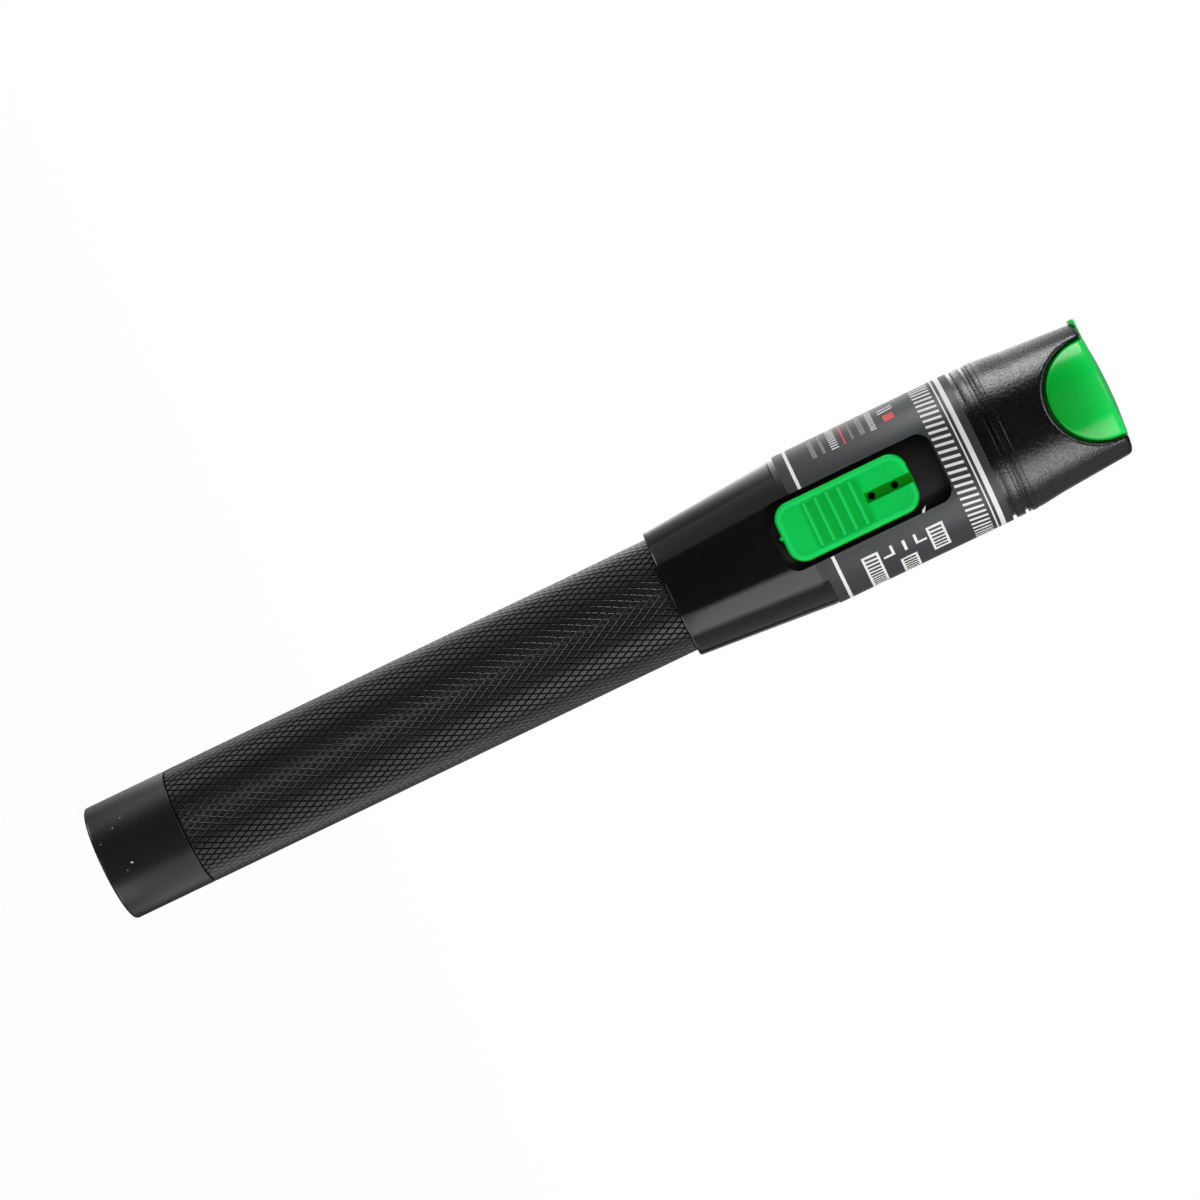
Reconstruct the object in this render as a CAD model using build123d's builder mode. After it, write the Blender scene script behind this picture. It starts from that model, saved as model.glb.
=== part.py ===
from build123d import *
import os
from math import radians, sqrt, tan

os.makedirs("parts", exist_ok=True)

# Pen type visual fault locator, standing on its flat tail face.
# +Z runs along the pen from the tail to the light port, and the switch faces -Y.
# All sizes are in millimetres.

# Clearances
turn_gap = 0.15          # radial, between pieces that turn or slide in each other
seat_gap = 0.10          # between pieces that are assembled and then stay still
face_gap = 0.10          # axial, between two bodies that meet at a stop
cap_gap = 0.35           # round the soft dust cap

# Tail cap
cap_radius = 9.8
cap_length = 14.3
cap_floor = 3.0          # wall that the pen stands on
cap_edge = 0.5
spigot_radius = 8.45
spigot_length = 7.5
spigot_edge = 0.4        # lead chamfer of the spigots and the barrel neck
spring_room_radius = 6.2
spring_wire = 0.45
spring_radius = 5.0
spring_turns = 5
joint_edge = 0.2         # chamfer on both sides of the joint line
cap_seal_inset = 0.6     # seal groove behind the joint line

# Battery cells, size AA
cell_radius = 7.1
cell_body = 49.5
cell_edge = 0.7
nub_radius = 2.7
nub_height = 1.0
cell_room = 0.5          # radial room round the cells
first_cell_z = 17.5

# Knurled barrel
barrel_radius = 9.8
barrel_end_z = 100.6
neck_radius = 8.8
neck_length = 8.8

# Head body, a tapered sleeve with a straight front
sleeve_rear_radius = 10.9
sleeve_taper_angle = 4.7
sleeve_taper_length = 22.7
sleeve_radius = 12.8
sleeve_land = 1.1
sleeve_edge = 0.4
label_thickness = 0.1
label_corner = 0.6
cavity_radius = 10.9
cavity_start_z = 116.6

# Slot for the slide button
slot_width = 11.75
slot_length = 28.9
slot_start_z = 119.3
slot_to_front = 6.9      # at least this much from the slot's front end to the head's front end
slot_corner = 2.3
liner_thickness = 0.9
liner_width = 14.4
liner_margin = 1.2

# Slide button, drawn in its rear position
button_width = 10.2
button_length = 23.2
button_start_z = 120.3
button_corner = 2.8
button_top = 12.75       # distance of the flat top from the pen's axis
button_edge = 0.7
button_travel = 3.85
grip_width = 8.3
grip_length = 10.6
grip_start = 4.6         # from the rear end of the button
grip_depth = 0.3
grip_corner = 1.0
rib_count = 5
rib_pitch = 1.975
rib_width = 0.57
rib_length = 7.55
rib_start = 5.6
groove_width = 1.65
groove_length = 8.1
groove_depth = 0.6
groove_hole_radius = 0.6
groove_hole_pitch = 4.0
groove_hole_inset = 1.0
stem_size = 3.2

# Slide switch on the circuit board
switch_width = 5.6
switch_height = 3.2
switch_length = 12.0
switch_window_depth = 1.2
actuator_size = 2.0
actuator_height = 3.4

# Circuit board and what it carries
board_thickness = 1.2
board_width = 17.0
board_length = 23.6
board_face_y = -4.6      # side that the switch sits on
board_corner = 0.6
part_edge = 0.25         # small chamfer of the components
chip_size = (4.0, 1.6, 5.0)
chip_place = 6.5         # places count from the rear end of the board
trimmer_size = (3.4, 1.8, 3.4)
trimmer_inset = 3.6      # from the front end of the board
trimmer_side = 5.0
trimmer_slot = (2.0, 0.5)
capacitor_radius = 2.4
capacitor_height = 5.4
capacitor_place = 13.5
capacitor_side = 4.0

# Moulded frame inside the head
frame_disc = 1.4
frame_disc_z = 119.0
frame_flat_y = -7.2
rail_height = 3.8
rail_bite = 0.8
frame_ring = 2.0
board_margin = 0.8       # from the front end of the board to the frame ring
ring_to_front = 10.2     # at least this much from the frame ring to the head's front end
rivet_radius = 0.8
rivet_head = 0.5         # the rivet stands out of the frame disc
contact_radius = 5.5
contact_thickness = 0.4

# Nose collar between head and front shell
seam_gap = 0.7
seam_radius = 12.3
collar_radius = 12.85
collar_length = 1.5
collar_neck = 0.6
key_width = 10.0
nose_spigot_length = 4.0
nose_seal_inset = 1.2
key_root = 0.5           # the key tab starts this far below the neck
hub_radius = 9.6
hub_length = 3.6

# Front shell with two U-shaped notches
band_radius = 12.9
band_length = 2.3
band_step = 1.0          # length of the slope from the band down to the cone
shell_rear_radius = 12.35
shell_front_radius = 11.4
shell_length = 19.1
shell_wall = 1.25
shell_edge = 0.25
shell_front_edge = 0.9
notch_radius = 8.65
notch_inset = 1.25       # centre of the notch's half circle behind the front edge
ear_corner = 0.5         # the notch flares out over this length at the front edge

# Dust cap that plugs the front
pad_sink = 0.35          # pad surface below the shell surface
pad_lead = 0.3           # the pad is this much slimmer at its rear end
cap_lip = 3.3
cap_dome = 0.8
tab_width = 5.0          # pull tab that hooks over one ear
tab_thickness = 0.5
tab_reach = 12.0
tab_root = 7.0
hook_wall = 0.4
hook_drop = 1.0          # the hook reaches this far behind the front edge
bore_floor_gap = 0.8     # between the port's front end and the floor of the cap's bore
tube_wall = 1.4
cap_core_wall = 2.8
skirt_lead = 1.0         # the core's skirt starts this far behind the pads

# Light port for a 2.5 mm ferrule
port_radius = 4.0
port_edge = 0.3
port_socket = 2.0        # depth of the stem's rear end in the laser holder
port_lead = 1.2          # the ferrule sleeve starts this far behind the hub's front face
retainer_inset = 0.2
port_flange_radius = 6.0
port_flange = 1.2
ferrule_radius = 1.25
ferrule_gap = 0.01
sleeve_wall = 0.35
sleeve_split = 0.35
ferrule_sleeve_length = 11.2
pinhole_radius = 0.6
lens_radius = 2.2
lens_centre = 1.0
lens_dome = 0.6
lens_ring = 1.2
lens_ring_bore = 1.6
lens_gap = 2.0           # lens seat to ferrule sleeve
retainer_radius = 2.6
retainer_length = 1.5
retainer_lead = 0.35     # radial, the retainer's hole round the ferrule

# Laser diode and its brass holder
holder_radius = 4.6
holder_length = 8.0
holder_reach = 0.6       # the holder stands out of the frame ring at its rear
diode_flange_radius = 2.8
diode_flange = 1.2
diode_can_radius = 2.35
diode_can = 2.3
diode_depth = 1.9
pin_radius = 0.23
pin_circle = 1.27
pin_length = 4.0

# Seals
ring_section = 1.0

# Places that follow from the sizes above
slope = tan(radians(sleeve_taper_angle))
bore_radius = cell_radius + cell_room
second_cell_z = first_cell_z + cell_body + nub_height
cells_end_z = second_cell_z + cell_body + nub_height
taper_end_z = barrel_end_z + sleeve_taper_length
taper_end_radius = sleeve_rear_radius + sleeve_taper_length * slope
label_start_z = taper_end_z + sleeve_land
board_start_z = frame_disc_z + frame_disc + seat_gap
frame_ring_z = board_start_z + board_length + board_margin
slot_end_z = slot_start_z + slot_length
head_end_z = max(slot_end_z + slot_to_front, frame_ring_z + ring_to_front)
collar_start_z = head_end_z + seam_gap
collar_end_z = collar_start_z + collar_length
shell_start_z = collar_end_z + collar_neck
shell_end_z = shell_start_z + shell_length
slot_z = slot_start_z + slot_length / 2
button_z = button_start_z + button_length / 2
liner_radius = cavity_radius - seat_gap
switch_z = button_z + button_travel / 2
board_back_y = board_face_y + board_thickness
switch_top = switch_height - board_face_y
frame_radius = cavity_radius - 2 * seat_gap
notch_z = shell_end_z - notch_inset
flare_z = shell_end_z - ear_corner
hub_end_z = shell_start_z + hub_length
ferrule_sleeve_start_z = hub_end_z - port_lead
ferrule_sleeve_bore = ferrule_radius + ferrule_gap
ferrule_sleeve_radius = ferrule_sleeve_bore + sleeve_wall
ferrule_sleeve_end_z = ferrule_sleeve_start_z + ferrule_sleeve_length
port_end_z = ferrule_sleeve_end_z + retainer_length + retainer_inset
lens_seat_z = ferrule_sleeve_start_z - lens_gap
holder_start_z = frame_ring_z - holder_reach
holder_end_z = holder_start_z + holder_length
port_start_z = holder_end_z - port_socket
diode_start_z = holder_start_z + diode_depth


def outline(*points):
    # closed half section in the XZ plane, given as (radius, height) points
    with BuildSketch(Plane.XZ) as section:
        with BuildLine():
            Polyline(*points, close=True)
        make_face()
    return section.sketch


def ring_outline(inner, start, section):
    # octagon-like section of a seal ring, inner radius and lower face given
    with BuildSketch(Plane.XZ) as profile:
        with Locations((inner + section / 2, start + section / 2)):
            RegularPolygon(section / 2, 8, major_radius=False, rotation=22.5)
    return profile.sketch


def notch_outline(radius):
    # U across the front, whose ends flare out round the two ears
    flare = ear_corner * sqrt(0.5)
    mouth = radius + ear_corner
    with BuildSketch(Plane.XZ) as notch:
        with BuildLine():
            ThreePointArc((mouth, shell_end_z), (mouth - flare, flare_z + flare), (radius, flare_z))
            Line((radius, flare_z), (radius, notch_z))
            ThreePointArc((radius, notch_z), (0, notch_z - radius), (-radius, notch_z))
            Line((-radius, notch_z), (-radius, flare_z))
            ThreePointArc((-radius, flare_z), (flare - mouth, flare_z + flare), (-mouth, shell_end_z))
            Polyline((-mouth, shell_end_z), (-mouth, shell_end_z + 1), (mouth, shell_end_z + 1),
                     (mouth, shell_end_z))
        make_face()
    return notch.sketch


def save(part, name):
    part.label = name
    export_step(part, "parts/" + name + ".step")


# Tail end

spring_seat_z = cap_floor + contact_thickness
spring_room_end_z = first_cell_z - cell_room
mouth_bore = bore_radius - 2 * face_gap
groove_floor = spigot_radius - ring_section * 0.85

with BuildPart() as tail_cap:
    spigot_end = cap_length + spigot_length
    groove_start = cap_length + cap_seal_inset
    groove_end = groove_start + ring_section + 2 * seat_gap
    revolve(outline(
        (0, 0), (cap_radius - cap_edge, 0), (cap_radius, cap_edge),
        (cap_radius, cap_length - joint_edge), (cap_radius - joint_edge, cap_length), (spigot_radius, cap_length), (spigot_radius, groove_start),
        (groove_floor, groove_start), (groove_floor, groove_end), (spigot_radius, groove_end),
        (spigot_radius, spigot_end - spigot_edge), (spigot_radius - spigot_edge, spigot_end),
        (mouth_bore, spigot_end), (mouth_bore, spring_room_end_z), (spring_room_radius, spring_room_end_z),
        (spring_room_radius, cap_floor), (0, cap_floor)),
        axis=Axis.Z)
save(tail_cap.part, "tail_cap")

with BuildPart() as tail_o_ring:
    revolve(ring_outline(groove_floor, groove_start + seat_gap, ring_section), axis=Axis.Z)
save(tail_o_ring.part, "tail_o_ring")

with BuildPart() as tail_contact:
    with Locations((0, 0, cap_floor)):
        Cylinder(spring_room_radius - seat_gap, contact_thickness,
                 align=(Align.CENTER, Align.CENTER, Align.MIN))
save(tail_contact.part, "tail_contact")

with BuildPart() as tail_spring:
    spring_low = spring_seat_z + seat_gap + spring_wire
    spring_high = first_cell_z - seat_gap - spring_wire
    spring_rise = spring_high - spring_low
    with BuildLine(Plane.XY.offset(spring_low)) as coil:
        Helix(pitch=spring_rise / spring_turns, height=spring_rise, radius=spring_radius)
    with BuildSketch(Plane(origin=coil.line @ 0, z_dir=coil.line % 0)):
        RegularPolygon(spring_wire, 6)
    sweep(path=coil.line, is_frenet=True)
save(tail_spring.part, "tail_spring")


# Barrel and cells

barrel_start_z = cap_length + face_gap
mouth_radius = spigot_radius + turn_gap
mouth_end_z = cap_length + spigot_length + cell_room
seal_room_radius = groove_floor + ring_section + seat_gap

with BuildPart() as barrel:
    neck_end = barrel_end_z + neck_length
    neck_groove = neck_radius - ring_section / 2
    neck_groove_start = barrel_end_z + ring_section
    neck_groove_end = neck_groove_start + ring_section + 2 * seat_gap
    revolve(outline(
        (seal_room_radius, barrel_start_z), (barrel_radius - joint_edge, barrel_start_z),
        (barrel_radius, barrel_start_z + joint_edge), (barrel_radius, barrel_end_z), (neck_radius, barrel_end_z),
        (neck_radius, neck_groove_start), (neck_groove, neck_groove_start),
        (neck_groove, neck_groove_end), (neck_radius, neck_groove_end),
        (neck_radius, neck_end - spigot_edge), (neck_radius - spigot_edge, neck_end),
        (bore_radius, neck_end), (bore_radius, mouth_end_z), (mouth_radius, mouth_end_z),
        (mouth_radius, groove_end + 3 * joint_edge), (seal_room_radius, groove_end + 2 * joint_edge)),
        axis=Axis.Z)
save(barrel.part, "barrel")

with BuildPart() as barrel_o_ring:
    revolve(ring_outline(neck_groove, neck_groove_start + seat_gap, ring_section), axis=Axis.Z)
save(barrel_o_ring.part, "barrel_o_ring")

for cell_name, cell_z in (("cell_rear", first_cell_z), ("cell_front", second_cell_z)):
    with BuildPart() as cell:
        cell_top = cell_z + cell_body
        revolve(outline(
            (0, cell_z), (cell_radius - cell_edge, cell_z), (cell_radius, cell_z + cell_edge),
            (cell_radius, cell_top - cell_edge), (cell_radius - cell_edge, cell_top), (nub_radius, cell_top),
            (nub_radius, cell_top + nub_height), (0, cell_top + nub_height)),
            axis=Axis.Z)
    save(cell.part, cell_name)


# Head body with its slot and label

with BuildPart() as head_body:
    seal_pocket = neck_groove + ring_section + seat_gap
    socket_radius = neck_radius + seat_gap
    socket_end_z = barrel_end_z + neck_length + seat_gap
    revolve(outline(
        (seal_pocket, barrel_end_z), (sleeve_rear_radius - sleeve_edge, barrel_end_z),
        (sleeve_rear_radius + sleeve_edge * slope, barrel_end_z + sleeve_edge),
        (taper_end_radius, taper_end_z),
        (sleeve_radius, taper_end_z), (sleeve_radius, head_end_z), (cavity_radius, head_end_z),
        (cavity_radius, cavity_start_z), (bore_radius, cavity_start_z), (bore_radius, socket_end_z),
        (socket_radius, socket_end_z), (socket_radius, neck_groove_end + 2 * joint_edge),
        (seal_pocket, neck_groove_end + joint_edge)),
        axis=Axis.Z)
    with BuildSketch(Plane.XZ):
        with Locations((0, slot_z)):
            RectangleRounded(slot_width, slot_length, slot_corner)
    extrude(amount=sleeve_radius + 1, mode=Mode.SUBTRACT)
save(head_body.part, "head_body")

with BuildPart() as label_wrap:
    revolve(outline(
        (sleeve_radius, label_start_z), (sleeve_radius + label_thickness, label_start_z),
        (sleeve_radius + label_thickness, head_end_z), (sleeve_radius, head_end_z)),
        axis=Axis.Z)
    flare_x = slot_width / 2 + label_corner
    with BuildSketch(Plane.XZ):
        with Locations((0, label_start_z)):
            Rectangle(2 * flare_x, 2 * label_corner)
        with Locations((flare_x, label_start_z + label_corner), (-flare_x, label_start_z + label_corner)):
            Circle(label_corner, mode=Mode.SUBTRACT)
        with Locations((0, slot_z)):
            RectangleRounded(slot_width, slot_length, slot_corner)
    extrude(amount=sleeve_radius + 1, mode=Mode.SUBTRACT)
save(label_wrap.part, "label_wrap")

liner_inner = liner_radius - liner_thickness
stem_z = button_z
window_length = stem_size + button_travel + 2 * cap_gap
liner_length = slot_length + 2 * liner_margin
with BuildPart() as slot_liner:
    with Locations((0, 0, slot_z)):
        Cylinder(liner_radius, liner_length)
        Cylinder(liner_inner, liner_length, mode=Mode.SUBTRACT)
        with Locations((0, -liner_radius, 0)):
            Box(liner_width, 2 * (liner_radius + frame_flat_y) - 2 * seat_gap, liner_length,
                mode=Mode.INTERSECT)
    with Locations((0, -liner_radius, stem_z + button_travel / 2)):
        Box(stem_size + 2 * cap_gap, 4, window_length, mode=Mode.SUBTRACT)
save(slot_liner.part, "slot_liner")


# Slide button and the switch under it

saddle_radius = liner_radius + turn_gap + seat_gap
with BuildPart() as slide_button:
    with BuildSketch(Plane.XZ):
        with Locations((0, button_z)):
            RectangleRounded(button_width, button_length, button_corner)
    extrude(amount=button_top)
    chamfer(edges().group_by(Axis.Y)[0], button_edge)
    with Locations((0, 0, button_z)):
        Cylinder(saddle_radius, button_length + 2, mode=Mode.SUBTRACT)
    top_plane = Plane.XZ.offset(button_top)
    grip_z = button_start_z + grip_start + grip_length / 2
    with BuildSketch(top_plane):
        with Locations((0, grip_z)):
            RectangleRounded(grip_width, grip_length, grip_corner)
    extrude(amount=-grip_depth, mode=Mode.SUBTRACT)
    with BuildSketch(top_plane.offset(-grip_depth)):
        for rib in range(rib_count):
            with Locations((0, button_start_z + rib_start + rib * rib_pitch)):
                SlotOverall(rib_length, rib_width)
    extrude(amount=grip_depth)
    groove_start_z = button_start_z + button_length - groove_length
    with BuildSketch(top_plane):
        with Locations((0, groove_start_z)):
            Rectangle(groove_width, 2 * groove_length, align=(Align.CENTER, Align.MIN))
    extrude(amount=-groove_depth, mode=Mode.SUBTRACT)
    with BuildSketch(top_plane):
        for hole in range(2):
            with Locations((0, groove_start_z + groove_hole_inset + hole * groove_hole_pitch)):
                Circle(groove_hole_radius)
    extrude(amount=-2 * (button_top - saddle_radius), mode=Mode.SUBTRACT)
    stem_end = switch_top + turn_gap
    with BuildSketch(Plane.XZ.offset(stem_end)):
        with Locations((0, stem_z)):
            Rectangle(stem_size, stem_size)
            Rectangle(actuator_size + 2 * seat_gap, actuator_size + 2 * seat_gap, mode=Mode.SUBTRACT)
    extrude(amount=saddle_radius - stem_end + grip_depth)
save(slide_button.part, "slide_button")

actuator_foot = switch_top - switch_window_depth + seat_gap
with BuildPart() as switch_housing:
    with BuildSketch(Plane.XZ.offset(-board_face_y)):
        with Locations((0, switch_z)):
            Rectangle(switch_width, switch_length)
    extrude(amount=switch_height)
    with BuildSketch(Plane.XZ.offset(switch_top)):
        with Locations((0, switch_z)):
            Rectangle(actuator_size + 2 * turn_gap, actuator_size + button_travel + 2 * cap_gap)
    extrude(amount=-switch_window_depth, mode=Mode.SUBTRACT)
    chamfer(edges().group_by(Axis.Y)[0].filter_by(Axis.Z).sort_by(Axis.X)[0::3], part_edge)
save(switch_housing.part, "switch_housing")

with BuildPart() as switch_actuator:
    with BuildSketch(Plane.XZ.offset(actuator_foot)):
        with Locations((0, stem_z)):
            Rectangle(actuator_size, actuator_size)
    extrude(amount=actuator_height)
save(switch_actuator.part, "switch_actuator")


# Circuit board and its components

with BuildPart() as circuit_board:
    with BuildSketch(Plane.XZ.offset(-board_back_y)):
        with Locations((0, board_start_z + board_length / 2)):
            RectangleRounded(board_width, board_length, board_corner)
    extrude(amount=board_thickness)
save(circuit_board.part, "circuit_board")

chip_z = board_start_z + chip_place
trimmer_z = board_start_z + board_length - trimmer_inset
capacitor_z = board_start_z + capacitor_place
with BuildPart() as driver_chip:
    with Locations((0, board_back_y, chip_z)):
        Box(*chip_size, align=(Align.CENTER, Align.MIN, Align.CENTER))
    chamfer(edges().group_by(Axis.Y)[-1], part_edge)
save(driver_chip.part, "driver_chip")

with BuildPart() as trim_pot:
    with Locations((-trimmer_side, board_back_y, trimmer_z)):
        Box(*trimmer_size, align=(Align.CENTER, Align.MIN, Align.CENTER))
    with BuildSketch(Plane.XZ.offset(-board_back_y - trimmer_size[1])):
        with Locations((-trimmer_side, trimmer_z)):
            Rectangle(trimmer_slot[0], trimmer_slot[1])
    extrude(amount=trimmer_slot[1], mode=Mode.SUBTRACT)
save(trim_pot.part, "trim_pot")

with BuildPart() as capacitor:
    with BuildSketch(Plane.XZ.offset(-board_back_y)):
        with Locations((capacitor_side, capacitor_z)):
            Circle(capacitor_radius)
    extrude(amount=-capacitor_height)
    chamfer(edges().group_by(Axis.Y)[-1], part_edge)
save(capacitor.part, "capacitor")

with BuildPart() as front_contact:
    with Locations((0, 0, cells_end_z)):
        Cylinder(contact_radius, contact_thickness, align=(Align.CENTER, Align.CENTER, Align.MIN))
        Cylinder(rivet_radius, frame_disc_z + frame_disc + rivet_head - cells_end_z,
                 align=(Align.CENTER, Align.CENTER, Align.MIN))
save(front_contact.part, "front_contact")

with BuildPart() as inner_frame:
    with Locations((0, 0, frame_disc_z)):
        Cylinder(frame_radius, frame_disc, align=(Align.CENTER, Align.CENTER, Align.MIN))
    rail_low_y = board_face_y - (rail_height - board_thickness) / 2
    rail_inner_x = board_width / 2 - rail_bite
    with BuildSketch(Plane.XY.offset(frame_disc_z)):
        Circle(frame_radius)
        with Locations((0, rail_low_y + rail_height / 2)):
            Rectangle(2 * frame_radius, rail_height, mode=Mode.INTERSECT)
        Rectangle(2 * rail_inner_x, 2 * frame_radius, mode=Mode.SUBTRACT)
    extrude(amount=frame_ring_z + frame_ring - frame_disc_z)
    with BuildSketch(Plane.XY.offset(frame_ring_z)):
        Circle(frame_radius)
    extrude(amount=frame_ring)
    with Locations((0, 0, frame_ring_z)):
        Cylinder(holder_radius + seat_gap, 2 * frame_ring + 2, mode=Mode.SUBTRACT)
    with Locations((0, 0, frame_disc_z)):
        Cylinder(rivet_radius + seat_gap, 4 * frame_disc, mode=Mode.SUBTRACT)
    with Locations((0, (board_face_y + board_back_y) / 2, board_start_z - seat_gap)):
        Box(board_width + 2 * seat_gap, board_thickness + 2 * seat_gap, board_length + 2 * seat_gap,
            align=(Align.CENTER, Align.CENTER, Align.MIN), mode=Mode.SUBTRACT)
    with Locations((0, frame_flat_y, slot_z)):
        Box(3 * frame_radius, frame_radius, 2 * slot_length,
            align=(Align.CENTER, Align.MAX, Align.CENTER), mode=Mode.SUBTRACT)
save(inner_frame.part, "inner_frame")


# Laser diode, its holder and the light port

diode_end_z = diode_start_z + diode_flange + diode_can
with BuildPart() as laser_holder:
    revolve(outline(
        (diode_flange_radius + seat_gap, holder_start_z), (holder_radius, holder_start_z),
        (holder_radius, holder_end_z), (port_radius + seat_gap, holder_end_z),
        (port_radius + seat_gap, port_start_z), (diode_can_radius + seat_gap, port_start_z),
        (diode_can_radius + seat_gap, diode_start_z + diode_flange),
        (diode_flange_radius + seat_gap, diode_start_z + diode_flange)),
        axis=Axis.Z)
save(laser_holder.part, "laser_holder")

with BuildPart() as laser_diode:
    with Locations((0, 0, diode_start_z)):
        Cylinder(diode_flange_radius, diode_flange, align=(Align.CENTER, Align.CENTER, Align.MIN))
    with Locations((0, 0, diode_start_z + diode_flange)):
        Cylinder(diode_can_radius, diode_can, align=(Align.CENTER, Align.CENTER, Align.MIN))
        Cylinder(pin_radius * 3, diode_can * 3, mode=Mode.SUBTRACT)
    with BuildSketch(Plane.XY.offset(diode_start_z - pin_length)):
        with PolarLocations(pin_circle, 3, start_angle=90):
            Circle(pin_radius)
    extrude(amount=pin_length)
save(laser_diode.part, "laser_diode")

with BuildPart() as port_stem:
    sleeve_room = ferrule_sleeve_radius + seat_gap / 2
    sleeve_room_z = ferrule_sleeve_start_z - 4 * seat_gap
    revolve(outline(
        (lens_radius + seat_gap / 2, port_start_z), (port_radius, port_start_z), (port_radius, hub_end_z),
        (port_flange_radius, hub_end_z), (port_flange_radius, hub_end_z + port_flange),
        (port_radius, hub_end_z + port_flange), (port_radius, port_end_z - port_edge),
        (port_radius - port_edge, port_end_z), (retainer_radius + seat_gap / 2, port_end_z),
        (retainer_radius + seat_gap / 2, ferrule_sleeve_end_z), (sleeve_room, ferrule_sleeve_end_z),
        (sleeve_room, sleeve_room_z), (pinhole_radius, sleeve_room_z),
        (pinhole_radius, lens_seat_z), (lens_radius + seat_gap / 2, lens_seat_z)),
        axis=Axis.Z)
save(port_stem.part, "port_stem")

with BuildPart() as ceramic_sleeve:
    with Locations((0, 0, ferrule_sleeve_start_z)):
        Cylinder(ferrule_sleeve_radius, ferrule_sleeve_length,
                 align=(Align.CENTER, Align.CENTER, Align.MIN))
        Cylinder(ferrule_sleeve_bore, 3 * ferrule_sleeve_length, mode=Mode.SUBTRACT)
        Box(ferrule_sleeve_radius * 2, sleeve_split, 3 * ferrule_sleeve_length,
            align=(Align.MIN, Align.CENTER, Align.CENTER), mode=Mode.SUBTRACT)
save(ceramic_sleeve.part, "ceramic_sleeve")

with BuildPart() as sleeve_retainer:
    retainer_hole = ferrule_radius + retainer_lead
    revolve(outline(
        (retainer_hole, ferrule_sleeve_end_z), (retainer_radius, ferrule_sleeve_end_z),
        (retainer_radius, ferrule_sleeve_end_z + retainer_length),
        (retainer_hole + port_edge, ferrule_sleeve_end_z + retainer_length),
        (retainer_hole, ferrule_sleeve_end_z + retainer_length - port_edge)),
        axis=Axis.Z)
save(sleeve_retainer.part, "sleeve_retainer")

with BuildPart() as focus_lens:
    with BuildSketch(Plane.XZ):
        with BuildLine():
            lens_back = lens_seat_z - lens_centre - lens_dome
            Polyline((0, lens_seat_z), (0, lens_back))
            ThreePointArc((0, lens_back), (lens_radius / 2, lens_back + lens_dome / 4),
                          (lens_radius, lens_back + lens_dome))
            Polyline((lens_radius, lens_back + lens_dome), (lens_radius, lens_seat_z), (0, lens_seat_z))
        make_face()
    revolve(axis=Axis.Z)
save(focus_lens.part, "focus_lens")

with BuildPart() as lens_retainer:
    retainer_front = lens_seat_z - lens_centre - lens_dome
    lens_ring_start = retainer_front - lens_ring
    revolve(outline(
        (lens_ring_bore, lens_ring_start), (lens_radius, lens_ring_start), (lens_radius, retainer_front),
        (lens_ring_bore, retainer_front)),
        axis=Axis.Z)
save(lens_retainer.part, "lens_retainer")


# Nose collar, front shell and dust cap

with BuildPart() as nose_collar:
    spigot_start = head_end_z - nose_spigot_length
    nose_spigot_radius = cavity_radius - seat_gap
    nose_groove = nose_spigot_radius - ring_section / 2
    nose_groove_start = spigot_start + nose_seal_inset
    pocket_end_z = holder_end_z + seat_gap
    nose_groove_end = nose_groove_start + ring_section / 2 + 2 * seat_gap
    revolve(outline(
        (port_radius + seat_gap, pocket_end_z), (holder_radius + seat_gap, pocket_end_z),
        (holder_radius + seat_gap, spigot_start), (nose_spigot_radius, spigot_start),
        (nose_spigot_radius, nose_groove_start), (nose_groove, nose_groove_start),
        (nose_groove, nose_groove_end), (nose_spigot_radius, nose_groove_end),
        (nose_spigot_radius, head_end_z), (seam_radius, head_end_z), (seam_radius, collar_start_z),
        (collar_radius, collar_start_z), (collar_radius, collar_end_z), (seam_radius, collar_end_z),
        (seam_radius, shell_start_z), (hub_radius, shell_start_z), (hub_radius, hub_end_z),
        (port_radius + seat_gap, hub_end_z)),
        axis=Axis.Z)
    with BuildSketch(Plane.XY.offset(head_end_z)):
        Circle(collar_radius)
        Circle(seam_radius - key_root, mode=Mode.SUBTRACT)
        with Locations((0, -collar_radius)):
            Rectangle(key_width, collar_radius, mode=Mode.INTERSECT)
    extrude(amount=seam_gap)
save(nose_collar.part, "nose_collar")

with BuildPart() as front_o_ring:
    nose_ring = ring_section / 2
    revolve(ring_outline(nose_groove, nose_groove_start + seat_gap, nose_ring), axis=Axis.Z)
save(front_o_ring.part, "front_o_ring")

with BuildPart() as front_shell:
    band_end = shell_start_z + band_length
    revolve(outline(
        (hub_radius + seat_gap, shell_start_z), (band_radius - shell_edge, shell_start_z),
        (band_radius, shell_start_z + shell_edge), (band_radius, band_end - shell_edge),
        (band_radius - shell_edge, band_end), (shell_rear_radius, band_end + band_step),
        (shell_front_radius, shell_end_z - shell_front_edge),
        (shell_front_radius - shell_front_edge * 0.3, shell_end_z - shell_front_edge * 0.3),
        (shell_front_radius - shell_front_edge, shell_end_z),
        (shell_front_radius - shell_wall, shell_end_z), (shell_rear_radius - shell_wall, hub_end_z + shell_wall),
        (hub_radius + seat_gap, hub_end_z + seat_gap)),
        axis=Axis.Z)
    extrude(notch_outline(notch_radius), amount=2 * shell_rear_radius, both=True, mode=Mode.SUBTRACT)
save(front_shell.part, "front_shell")

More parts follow.
